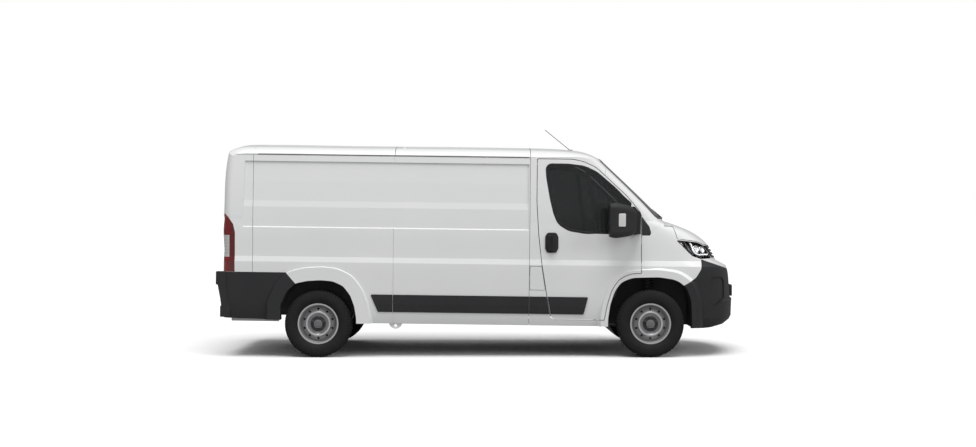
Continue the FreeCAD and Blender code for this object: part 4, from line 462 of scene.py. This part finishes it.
# Door window seals: a flat black frame round each window and an upright bar that parts the small
# front pane from the sliding one, moulded in rubber and pushed into the door's edge.
nose_down = math.radians(0.75)
row_z = np.array([0.335, 0.42, 0.54, 0.76, 0.90, 0.966, 1.022, 1.23, 1.434, 1.535, 1.60, 1.80, 2.012, 2.085])
row_half = np.array([0.948, 0.972, 0.990, 1.001, 1.005, 1.005, 0.988, 0.982, 0.968, 0.9597, 0.9532, 0.9286,
                     0.8967, 0.885])
taper_start, taper_most = 0.560, 0.066
taper_z = np.array([0.335, 1.022, 1.11, 1.23, 1.33, 1.434, 1.76, 2.085])
taper_share = np.array([0.94, 1.0, 1.03, 1.06, 1.03, 0.91, 0.68, 0.42])
taper_end = np.array([2.12, 2.057, 2.015, 1.941, 1.837, 1.641, 1.414, 1.088])


def half_width(x, z):
    """Half width of the level body's side: from the rows by height, less a taper that grows with the square
    of the share of the way from the door pillar to the taper's end."""
    reach = np.clip((x - taper_start) / (np.interp(z, taper_z, taper_end) - taper_start), 0, 1.2)
    return np.interp(z, row_z, row_half) - taper_most * np.interp(z, taper_z, taper_share) * reach ** 2


def pitched(grid):
    """The level places turned nose-down about the origin's cross axis."""
    x, y, z = grid[..., 0], grid[..., 1], grid[..., 2]
    c, s = math.cos(nose_down), math.sin(nose_down)
    return np.stack([x * c + z * s, y, z * c - x * s], -1)


def rounded(corners, steps=7):
    """Closed outline through corners (a, b, radius), each replaced by an arc of that radius."""
    p = np.array(corners, float)
    here, before, after = p[:, :2], np.roll(p[:, :2], 1, 0), np.roll(p[:, :2], -1, 0)
    u, v = before - here, after - here
    u, v = u / np.linalg.norm(u, axis=1)[:, None], v / np.linalg.norm(v, axis=1)[:, None]
    angle = np.arccos(np.clip((u * v).sum(1), -1, 1))
    reach = p[:, 2] / np.tan(angle / 2)
    middle = u + v
    middle = middle / np.maximum(np.linalg.norm(middle, axis=1), 1e-9)[:, None]
    centre = here + middle * (p[:, 2] / np.sin(angle / 2))[:, None]
    start, end = here + u * reach[:, None] - centre, here + v * reach[:, None] - centre
    turn = np.arctan2(end[:, 1], end[:, 0]) - np.arctan2(start[:, 1], start[:, 0])
    turn = (turn + math.pi) % (2 * math.pi) - math.pi
    t = np.arctan2(start[:, 1], start[:, 0])[:, None] + turn[:, None] * np.linspace(0, 1, steps)
    arc = centre[:, None] + p[:, 2][:, None, None] * np.stack([np.cos(t), np.sin(t)], -1)
    return arc.reshape(-1, 2)


def inset(outline, distance):
    """The closed outline moved inwards along its own normals."""
    ahead = np.roll(outline, -1, 0) - np.roll(outline, 1, 0)
    ahead = ahead / np.maximum(np.linalg.norm(ahead, axis=1), 1e-9)[:, None]
    normal = np.stack([-ahead[:, 1], ahead[:, 0]], 1)
    turning = (outline[:, 0] * np.roll(outline[:, 1], -1) - np.roll(outline[:, 0], -1) * outline[:, 1]).sum()
    return outline + normal * distance * (1 if turning > 0 else -1)


def on_side(sign, outline, lift):
    """Side-view places (x, z) set on the body's side, standing lift proud of it."""
    x, z = outline[..., 0], outline[..., 1]
    return pitched(np.stack([x, sign * (half_width(x, z) + lift), z], -1))


seal_rubber = mottled("black_seal_rubber", (0.012, 0.012, 0.013), (0.022, 0.022, 0.023), 30.0, roughness=0.42)
seal_rubber.bump(seal_rubber.noise(600.0), 0.1, 0.0003)
door_start, door_length, door_height = 0.503, 1.269, 2.085
door_window_shares = [(0.1269, 0.9688, 0.06), (0.1332, 0.9017, 0.5), (0.1647, 0.7938, 0.9),
                      (0.1946, 0.7194, 0.4), (0.2301, 0.6691, 0.16), (0.3168, 0.6355, 0.2),
                      (0.4547, 0.6225, 0.4), (0.8329, 0.6187, 0.008), (0.8329, 0.777, 0.03),
                      (0.6911, 0.8585, 0.3), (0.5453, 0.9329, 0.3), (0.4389, 0.9602, 0.2),
                      (0.3128, 0.9688, 0.4)]
window_edge = rounded([(door_start + door_length * a, door_height * b, r) for a, b, r in door_window_shares])
seal_rows = [(-0.005, -0.004), (-0.005, 0.0012), (0.001, 0.0026), (0.018, 0.0026), (0.021, 0.0012),
             (0.021, -0.004)]
bar_rows = [(-0.021, -0.004), (-0.021, 0.001), (-0.018, 0.0022), (0.018, 0.0022), (0.021, 0.001),
            (0.021, -0.004)]
t = np.linspace(0, 1, 24)[:, None]
bar_line = np.array([1.094, 1.990]) * (1 - t) + np.array([1.205, 1.300]) * t
for side, sign in sides:
    ring = np.stack([on_side(sign, inset(window_edge, d), lift) for d, lift in seal_rows])
    bar = np.stack([on_side(sign, bar_line + np.array([a, 0.0]), lift) for a, lift in bar_rows], 1)
    surface("window_seal_" + side, [(ring, "uv"), (bar, "vc")], seal_rubber, "door_front_" + side)

# Roof seams: the joint along the foot of the roof on each side, filled with a flat bead of dark sealer.
# It runs from the rear corner to the cab.
seam_line = np.stack([np.linspace(-2.345, 0.490, 60), np.full(60, 2.0835)], 1)
bead_rows = [(-0.0035, -0.003), (-0.0035, 0.0002), (0.0, 0.0008), (0.0035, 0.0002), (0.0035, -0.003)]
for side, sign in sides:
    bead = np.stack([on_side(sign, seam_line + np.array([0.0, rise]), lift) for rise, lift in bead_rows], 1)
    surface("roof_seam_" + side, [(bead, "vc")], seal_rubber, "van_body")

# Seats: a driver's seat on the right and a double bench on the left. Moulded foam under woven cloth,
# sewn with a welt down each side, on a boxed steel base, with a head restraint on two steel stalks.
seat_cloth = Finish("woven_seat_cloth", roughness=0.95, sheen_weight=0.2)
weave = seat_cloth.cells(900.0)
seat_cloth.set(base_color=seat_cloth.blend(weave, (0.035, 0.035, 0.037), (0.085, 0.085, 0.088)))
seat_cloth.bump(weave, 0.5, 0.0008)
base_paint = mottled("seat_base_coating", (0.02, 0.02, 0.021), (0.035, 0.035, 0.036), 14.0, roughness=0.6)
base_paint.bump(base_paint.cells(400.0), 0.3, 0.0005)


def oblong(low_a, low_b, high_a, high_b, radius):
    """Closed outline of the rectangle between two places, with its corners rounded to that radius."""
    return rounded([(low_a, low_b, radius), (high_a, low_b, radius), (high_a, high_b, radius),
                    (low_a, high_b, radius)])


draw_in_ends, draw_in_sides = 0.035, 0.03
channel_place, channel_width, channel_depth, channel_end = 0.56, 0.03, 0.10, 0.9


def pad_grid(centre, size, lean, square, crown):
    """Superellipsoid: powers of sines and cosines of two angles make a box with round edges. Its top swells
    by crown towards the middle, its sides draw in between the corners, and two sewn channels run along it.
    The form is then leaned about the cross axis."""
    v, u = np.meshgrid(np.linspace(-math.pi / 2, math.pi / 2, 49),
                       np.linspace(-math.pi, math.pi, 96, endpoint=False), indexing="ij")

    def squared(wave):
        return np.sign(wave) * np.abs(wave) ** square

    a, b = squared(np.cos(v)) * squared(np.cos(u)), squared(np.cos(v)) * squared(np.sin(u))
    c = squared(np.sin(v))
    a, b = a * (1 - draw_in_ends * (1 - b ** 2)), b * (1 - draw_in_sides * (1 - a ** 2))
    channel = np.exp(-((np.abs(b) - channel_place) / channel_width) ** 2)
    sewn = channel_depth * channel * (np.abs(a) < channel_end)
    c = c + np.where(c > 0, crown * (1 - a ** 2) * (1 - b ** 2) - sewn, 0)
    x, y, z = a * size[0] / 2, b * size[1] / 2, c * size[2] / 2
    return pitched(np.stack([centre[0] + x * math.cos(lean) + z * math.sin(lean), centre[1] + y,
                             centre[2] + z * math.cos(lean) - x * math.sin(lean)], -1))


seat_forms = {"cushion": ((0.925, 0.945), (0.52, 1.0, 0.165), -0.03, 0.30, 0.10),
              "back": ((0.690, 1.285), (0.535, 0.92, 0.150), 1.345, 0.30, 0.12),
              "head_restraint": ((0.585, 1.680), (0.155, 0.42, 0.085), 1.43, 0.42, 0.15)}
seat_places = {"driver": (-0.800, -0.300), "middle": (-0.200, 0.270), "outer": (0.278, 0.760)}
restraint_width, stalk_radius, base_inset, seat_gap = 0.250, 0.007, 0.06, 0.985
stalk_path = np.array([(0.625, 1.50), (0.605, 1.66)])
stalk_turn = np.linspace(0, 2 * math.pi, 14, endpoint=False)
base_rows = [(0.0, 0.5615), (0.0, 0.80), (0.012, 0.81), (0.012, 0.87)]
for seat, (low_y, high_y) in seat_places.items():
    middle, width = (low_y + high_y) / 2, high_y - low_y
    for form, ((x, z), size, lean, square, crown) in seat_forms.items():
        pad_width = restraint_width if form == "head_restraint" else width * size[1] * seat_gap
        grid = pad_grid((x, middle, z), (size[0], pad_width, size[2]), lean, square, crown)
        pad = surface("%s_seat_%s" % (seat, form), [(grid, "v")], seat_cloth, "van_body", 60.0)
        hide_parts("seats")
    base_half = width / 2 - base_inset
    ring = oblong(0.73, middle - base_half, 1.11, middle + base_half, 0.03)
    base = np.stack([np.concatenate([inset(ring, d), np.full((len(ring), 1), z)], 1) for d, z in base_rows])
    stalks = []
    for offset in (-0.05, 0.05):
        round_stalk = [stalk_path[:, :1] + stalk_radius * np.cos(stalk_turn),
                       np.broadcast_to(middle + offset + stalk_radius * np.sin(stalk_turn), (2, 14)),
                       np.broadcast_to(stalk_path[:, 1:], (2, 14))]
        stalks.append((pitched(np.stack(round_stalk, -1)), "vc"))
    surface("%s_seat_base" % seat, [(pitched(base), "vc")] + stalks, base_paint, "van_body",
            30.0)

# Mirrors: heated glass in each housing's pocket and a clear repeater lens let into its outer face.
# Both snap into the moulded housing, and the lens is ribbed inside.
mirror_face = mottled("mirror_glass", (0.55, 0.57, 0.58), (0.60, 0.62, 0.63), 4.0,
                      roughness=0.04, metallic=1.0)
mirror_face.bump(mirror_face.noise(12.0), 0.02, 0.0004)
clear_lens = Finish("clear_lens", roughness=0.12, coat_weight=0.6)
ribs = (clear_lens.place()[2] * 900.0).sine()
clear_lens.set(base_color=clear_lens.blend(ribs * 0.5 + 0.5, (0.62, 0.62, 0.61), (0.85, 0.85, 0.84)))
clear_lens.bump(ribs, 0.3, 0.0006)
pane = oblong(1.087, 1.290, 1.243, 1.590, 0.04)
pane_rows = np.stack([pane, inset(pane, 0.003), 0 * pane + pane.mean(0)])
pane_x = np.array([0.0192, 0.0165, 0.0150])[:, None] * np.ones(len(pane)) + 1.3000
patch = oblong(1.398, 1.378, 1.471, 1.511, 0.010)
lens_rows = [(0.0, 1.2480), (0.0, 1.2630), (0.003, 1.2655), (0.010, 1.2660)]
for side, sign in sides:
    grid = np.stack([pane_x, sign * pane_rows[..., 0], pane_rows[..., 1]], -1)
    surface("mirror_glass_" + side, [(pitched(grid), "v")], mirror_face, "door_front_" + side,
            30.0, closed=False)
    lens = np.stack([np.insert(inset(patch, d), 1, sign * y, axis=1) for d, y in lens_rows])
    surface("mirror_repeater_" + side, [(pitched(lens), "vc")], clear_lens, "door_front_" + side,
            30.0)


# Headlamps: clear polycarbonate covers over a black tray with two plated reflector bowls, a lens in each
# and a bright light strip bent round the front. The cover node stays and is made clear, and each piece is
# laid on a smooth surface fitted to it, so that it keeps one even depth below it all the way round.
def fitted(node, ahead, order=(5, 5), low=(-9, -9, -9), high=(9, 9, 9)):
    """Polynomial in two coordinates across a direction, fitted by weighted least squares to the middles of
    the node's faces that look that way, between two corners. Faces far from the fit lose their weight from
    round to round. Returns a function from both coordinates and a depth to places."""
    facing, tolerance, rounds, on_face = 0.35, 0.004, 8, 0.003
    data, turn = nodes[node].data, np.array(nodes[node].matrix_world)
    centre, normal, area = [np.empty(len(data.polygons) * k) for k in (3, 3, 1)]
    data.polygons.foreach_get("center", centre)
    data.polygons.foreach_get("normal", normal)
    data.polygons.foreach_get("area", area)
    centre = centre.reshape(-1, 3) @ turn[:3, :3].T + turn[:3, 3]
    normal = normal.reshape(-1, 3) @ turn[:3, :3].T
    d = np.array(ahead, float) / np.linalg.norm(ahead)
    across = np.cross((0, 0, 1), d)
    across = across / np.linalg.norm(across)
    up = np.cross(d, across)
    chosen = (normal @ d > facing) & (centre > low).all(1) & (centre < high).all(1)
    centre, weight = centre[chosen], area[chosen] ** 0.5
    a, b, h = centre @ across, centre @ up, centre @ d
    middle, reach = np.array([a.mean(), b.mean()]), max(np.ptp(a), np.ptp(b)) / 2
    powers = [(i, j) for i in range(order[0] + 1) for j in range(order[1] + 1)
              if i / order[0] + j / order[1] <= 1]

    def terms(a, b):
        s, t = (a - middle[0]) / reach, (b - middle[1]) / reach
        return np.stack([s ** i * t ** j for i, j in powers], -1)

    fair = weight
    for _ in range(rounds):
        solved = np.linalg.lstsq(terms(a, b) * fair[:, None], h * fair, rcond=None)[0]
        fair = weight * np.exp(-((h - terms(a, b) @ solved) / tolerance) ** 2) + 1e-6

    def place(a, b, depth):
        """Places on the surface at depth below it."""
        level = terms(a, b) @ solved - depth
        return a[..., None] * across + b[..., None] * up + level[..., None] * d

    corners = np.empty(len(data.vertices) * 3)
    data.vertices.foreach_get("co", corners)
    corners = corners.reshape(-1, 3) @ turn[:3, :3].T + turn[:3, 3]
    corners = corners[(corners > low).all(1) & (corners < high).all(1)]
    a, b, h = corners @ across, corners @ up, corners @ d
    place.seen = np.stack([a, b], 1)[np.abs(h - terms(a, b) @ solved) < on_face]
    return place


def pillow(place, outline, front, back, edge=0.002, dish=0.0):
    """Closed form on a fitted surface: its back and front faces run from the middle to the outline in rings,
    with a bevel of edge between them. A dish sinks the front face's middle by that depth."""
    middle = outline.mean(0)
    shares = np.array([0.0, 0.2, 0.4, 0.6, 0.8, 0.93, 1.0])
    rings = [(middle + (outline - middle) * s, back) for s in shares] + [(outline, front + edge)]
    inner = inset(outline, edge)
    rings += [(middle + (inner - middle) * s, front + dish * (1 - s ** 2)) for s in shares[::-1]]
    return np.stack([place(ring[:, 0], ring[:, 1], depth) for ring, depth in rings])


def ribbon(place, line, width, front, back, closed=True):
    """Band of the given width along a line on a fitted surface, with a rounded front."""
    ahead = np.roll(line, -1, 0) - np.roll(line, 1, 0)
    if not closed:
        ahead[0], ahead[-1] = line[1] - line[0], line[-1] - line[-2]
    ahead = ahead / np.maximum(np.linalg.norm(ahead, axis=1), 1e-9)[:, None]
    out = np.stack([-ahead[:, 1], ahead[:, 0]], 1)
    section = [(-0.5, back), (-0.5, front + 0.002), (-0.32, front + 0.0004), (0.0, front),
               (0.32, front + 0.0004), (0.5, front + 0.002), (0.5, back)]
    rows = [line + out * width * share for share, depth in section]
    return np.stack([place(row[:, 0], row[:, 1], depth) for row, (share, depth) in zip(rows, section)], 1)


def disc(place, middle, radius, rings):
    """Round form on a fitted surface from its rings' shares of the radius and depths."""
    turn = np.linspace(0, 2 * math.pi, 60, endpoint=False)
    return np.stack([place(middle[0] + share * radius * np.cos(turn),
                           middle[1] + share * radius * np.sin(turn), depth) for share, depth in rings])


def both_sides(name, grids, finish, body, sharp=32.0):
    """The right-hand piece and its mirror image on the left. SIDE in the body's name stands for its side."""
    for side, sign in (("right", 1), ("left", -1)):
        flipped = [(grid * (1, sign, 1), word) for grid, word in grids]
        surface("%s_%s" % (name, side), flipped, finish, body.replace("SIDE", side), sharp)


clear_cover = mottled("clear_lamp_cover", (0.93, 0.94, 0.95), (0.98, 0.98, 0.98), 20.0,
                      roughness=0.02, transmission_weight=1.0, ior=1.12, specular_ior_level=0.6)
clear_cover.bump(clear_cover.noise(90.0), 0.02, 0.0004)
dress(["headlamps"], clear_cover)
plated = mottled("plated_reflector", (0.72, 0.73, 0.74), (0.80, 0.81, 0.82), 40.0,
                 roughness=0.16, metallic=1.0)
plated.bump(plated.noise(90.0), 0.25, 0.0012)
strip = mottled("light_strip", (0.84, 0.85, 0.86), (0.92, 0.92, 0.92), 30.0, roughness=0.22, coat_weight=0.5)
strip.bump(strip.noise(200.0), 0.1, 0.0004)
lamp_face = fitted("headlamps", (0.62, -0.62, 0.48), (5, 5), high=(9, 0, 9))
lamp_middle = np.array([1.0641, -0.0515])
tray = rounded([(-0.175, 0.088, 0.006), (-0.150, -0.025, 0.012), (-0.045, -0.105, 0.010),
                (0.150, -0.092, 0.012), (0.235, -0.045, 0.012), (0.100, 0.050, 0.030),
                (0.0, 0.050, 0.030)]) + lamp_middle
both_sides("headlamp_tray", [(pillow(lamp_face, tray, 0.030, 0.036, 0.004, 0.006), "v"),
                             (ribbon(lamp_face, inset(tray, 0.004), 0.008, 0.006, 0.032), "uv")], black_gloss,
           "van_body")
bowl_rings = [(0.0, 0.034), (0.5, 0.034), (1.0, 0.034), (1.0, 0.012), (0.94, 0.010), (0.88, 0.013),
              (0.7, 0.020), (0.5, 0.0255), (0.3, 0.029), (0.0, 0.030)]
lens_rings = [(0.0, 0.031), (0.36, 0.031), (0.36, 0.018), (0.34, 0.0145), (0.27, 0.0115), (0.15, 0.0095),
              (0.0, 0.009)]
for number, (a, b, bowl_radius) in enumerate([(-0.055, -0.018, 0.040), (0.035, -0.030, 0.042)]):
    bowl = disc(lamp_face, lamp_middle + (a, b), bowl_radius, bowl_rings)
    both_sides("headlamp_bowl_%d" % number, [(bowl, "v")], plated, "van_body", 40.0)
    lens = disc(lamp_face, lamp_middle + (a, b), bowl_radius, lens_rings)
    both_sides("headlamp_lens_%d" % number, [(lens, "v")], clear_lens, "van_body", 40.0)
bend = eased([(-0.100, 0.060), (-0.098, 0.010), (-0.085, -0.045), (-0.040, -0.082), (0.050, -0.084),
              (0.130, -0.076), (0.170, -0.040), (0.150, 0.000), (0.110, 0.026)], 60) + lamp_middle
both_sides("headlamp_strip", [(ribbon(lamp_face, bend, 0.014, 0.010, 0.022, closed=False), "vc")], strip,
           "van_body")

# Tail lamps: tall acrylic covers moulded in two colours in the rear corners: red with fine upright ribs
# inside, smoked towards the side, and clear over the reversing lamp at mid height.
red_cover = Finish("red_lamp_cover", roughness=0.1, coat_weight=0.7, coat_roughness=0.04)
at = red_cover.place()
ribs = (at[0] * 520.0 + at[1] * 520.0).sine() * 0.5 + 0.5
cells_seen = ribs * 0.55 + red_cover.cells(70.0) * 0.45
bright = red_cover.blend(cells_seen, (0.09, 0.005, 0.006), (0.30, 0.014, 0.013))
smoked = red_cover.blend(cells_seen, (0.035, 0.012, 0.013), (0.20, 0.020, 0.020))
clear = red_cover.blend((at[2] * 420.0).sine() * 0.5 + 0.5, (0.36, 0.36, 0.36), (0.76, 0.75, 0.74))
rear_edge, clear_low, clear_high = -2.598, 1.045, 1.270
rear_part = at[0] < rear_edge
red_cover.set(base_color=red_cover.blend((at[2] > clear_low) * (at[2] < clear_high) * rear_part,
                                         red_cover.blend(rear_part, smoked, bright), clear))
red_cover.bump(ribs, 0.35, 0.0008)
dress(["tail_lamps"], red_cover)

# Number plates: blank white aluminium sheets with a turned edge. The front one is riveted to a black
# holder on the bumper, the rear one sits in the left rear door's recess.
plate_paint = mottled("plain_white_plate", (0.74, 0.74, 0.73), (0.78, 0.78, 0.77), 9.0,
                      roughness=0.4, coat_weight=0.3)
plate_paint.bump(plate_paint.noise(90.0), 0.05, 0.0004)
plate_front = 2.740


def flat_front(a, b, depth):
    """Places on the upright plane of the front plate, at depth behind it."""
    return np.stack([plate_front - depth + 0 * a, a, b], -1)


plate = oblong(-0.26, 0.60, 0.26, 0.71, 0.008)
surface("front_plate", [(pillow(flat_front, plate, 0.0, 0.004, 0.001), "v")], plate_paint, "van_body")
surface("front_plate_holder", [(pillow(flat_front, inset(plate, -0.006), 0.0025, 0.050, 0.001), "v")],
        cladding, "van_body")
recess_face = fitted("rear_door_left", (-1.0, 0.0, 0.0), (1, 1), (-2.664, 0.12, 0.66), (-2.6, 0.69, 0.84))
plate = oblong(-0.66, 0.695, -0.14, 0.805, 0.008)
surface("rear_plate", [(pillow(recess_face, plate, -0.005, 0.0005, 0.001), "v")], plate_paint,
        "rear_door_left")

# Rear reflectors: red prismatic strips, moulded like the tail lamps' covers and pressed into the rear
# bumper's corners.
corner_face = fitted("rear_bumper", (-1.0, 0.0, 0.0), (1, 1), (-2.72, -0.96, 0.43), (-2.60, -0.86, 0.56))
reflector = oblong(0.865, 0.465, 0.965, 0.505, 0.008)
both_sides("rear_reflector", [(pillow(corner_face, reflector, -0.004, 0.001, 0.0015), "v")], red_cover,
           "van_body")


# Windscreen edge: the black ceramic band printed round the glass, which hides the glue, and the rear-view
# mirror on its foot behind the upper middle.
def outline_of(points, count=160):
    """Outline round a set of flat places: the furthest place in each direction, then even steps along it."""
    turn = np.linspace(0, 2 * math.pi, 361)[:-1]
    furthest = points[np.argmax(points @ np.stack([np.cos(turn), np.sin(turn)]), axis=0)]
    keep = np.linalg.norm(furthest - np.roll(furthest, 1, 0), axis=1) > 1e-4
    ring = furthest[keep]
    ring = np.vstack([ring, ring[:1]])
    run = np.concatenate([[0], np.cumsum(np.linalg.norm(np.diff(ring, axis=0), axis=1))])
    at = np.linspace(0, run[-1], count, endpoint=False)
    return np.stack([np.interp(at, run, ring[:, k]) for k in (0, 1)], 1)


screen_face = fitted("windscreen", (0.652, 0.0, 0.758), (4, 4))
screen_top = screen_face.seen[:, 1].max()
band = ribbon(screen_face, inset(outline_of(screen_face.seen), 0.030), 0.056, -0.0006, 0.002)
surface("windscreen_band", [(band, "uv")], black_gloss, "van_body")
case = oblong(-0.12, -0.030, 0.12, 0.030, 0.025) + (0.0, screen_top - 0.16)
foot = oblong(-0.02, -0.02, 0.02, 0.02, 0.008) + (0.0, screen_top - 0.15)
cab_mirror = [(pillow(screen_face, case, 0.060, 0.085, 0.006), "v"),
              (pillow(screen_face, foot, 0.0065, 0.062, 0.002), "v")]
surface("cab_mirror", cab_mirror, cab_plastic, "van_body")

# Sliding door handle: the same black cup and upright grip as on the cab doors, moulded in plastic and
# screwed on from inside the door.
cup = oblong(0.352, 1.094, 0.442, 1.303, 0.045)
cup_rows = [(0.0, -0.004), (0.0, 0.002), (0.003, 0.0045), (0.012, 0.0045), (0.020, 0.0015),
            (0.040, 0.0010)]
cup_middle = 0 * cup + cup.mean(0)
cup_grid = [on_side(1, cup_middle, -0.004)] + [on_side(1, inset(cup, d), lift) for d, lift in cup_rows]
cup_grid.append(on_side(1, cup_middle, 0.0010))
grip = oblong(0.385, 1.110, 0.409, 1.287, 0.011)
grip_middle = 0 * grip + grip.mean(0)
ridge = grip.mean(0) + (grip - grip.mean(0)) * (0.2, 0.9)
grip_rows = [(grip_middle, -0.001), (grip, -0.001), (grip, 0.016), (inset(grip, 0.004), 0.0195),
             (ridge, 0.0205), (grip_middle, 0.0205)]
grip_grid = [on_side(1, ring, lift) for ring, lift in grip_rows]
surface("sliding_door_handle", [(np.stack(cup_grid), "v"), (np.stack(grip_grid), "v")], cladding, "van_body")

# Front springs: steel wire coiled round each strut between two seats, coated black.
# The coil is a helix: its angle and height both grow with one parameter, and a round wire follows it.
coils, coil_radius, wire_radius = 5, 0.056, 0.0065
spring_foot, spring_length, strut_side = 0.648, 0.160, 0.677
t = np.linspace(0, 1, 241)
angle, height = t * coils * 2 * math.pi, spring_foot + spring_length * t
round_wire = np.linspace(0, 2 * math.pi, 12, endpoint=False)
reach = coil_radius + wire_radius * np.cos(round_wire)
for side, sign in sides:
    coil = np.stack([axle["front"][0] + reach * np.cos(angle)[:, None],
                     sign * strut_side + reach * np.sin(angle)[:, None],
                     height[:, None] + wire_radius * np.sin(round_wire)], -1)
    surface("front_spring_" + side, [(coil, "vc")], base_paint, "van_body")

# Cab door handles and linings: a raised lip and a gloss black bowl round each grip with a cap on it, and
# inside each door a moulded lining with an armrest, held by clips.
lining = mottled("door_lining_plastic", (0.045, 0.045, 0.048), (0.065, 0.065, 0.068), 5.0, roughness=0.7)
lining.bump(lining.cells(500.0), 0.35, 0.0005)


def door_side(a, b, depth):
    """Places on the right side of the body at depth below it."""
    return on_side(-1, np.stack([a, b], -1), -depth)


bowl_edge = oblong(0.667, 1.098, 0.796, 1.299, 0.050)
lip_rows = [(0.0, 0.0), (0.0, -0.0100), (0.003, -0.0125), (0.009, -0.0125), (0.013, -0.0095),
            (0.013, 0.0)]
lip = np.stack([door_side(*inset(bowl_edge, d).T, depth) for d, depth in lip_rows])
both_sides("handle_lip", [(lip, "uv")], cladding, "door_front_SIDE")
both_sides("handle_bowl", [(pillow(door_side, inset(bowl_edge, 0.012), -0.0096, -0.004, 0.0004), "v")],
           black_gloss, "door_front_SIDE")
cap = oblong(0.699, 1.121, 0.749, 1.277, 0.016)
both_sides("handle_cap", [(pillow(door_side, cap, -0.0375, -0.033, 0.003, -0.0025), "v")], black_gloss,
           "door_front_SIDE")
panel = rounded([(0.740, 0.620, 0.05), (1.390, 0.620, 0.05), (1.500, 0.950, 0.10), (1.500, 1.180, 0.04),
                 (0.780, 1.180, 0.06)])
armrest = oblong(0.860, 0.930, 1.290, 1.000, 0.025)
both_sides("door_lining", [(pillow(door_side, panel, 0.092, 0.060, -0.006), "v"),
                           (pillow(door_side, armrest, 0.124, 0.086, -0.010), "v")], lining,
           "door_front_SIDE")

# Brake discs: rings behind the wheels' holes, in the cladding's near-black as painted shade, so that the
# holes look dark. They sit against the inside of the rims, clear of the knuckles, and turn with the wheels.
disc_rows = [(0.137, -0.004), (0.137, 0.014), (0.141, 0.019), (0.165, 0.019), (0.1715, 0.015),
             (0.1715, -0.004)]
for end, (axle_x, axle_y) in axle.items():
    ring = np.stack([np.stack([axle_x + r * np.sin(spin), 0 * spin - axle_y - out,
                               tyre_radius + r * np.cos(spin)], -1) for r, out in disc_rows])
    both_sides("brake_disc_" + end, [(ring, "uv")], cladding, "wheel_" + end + "_SIDE")
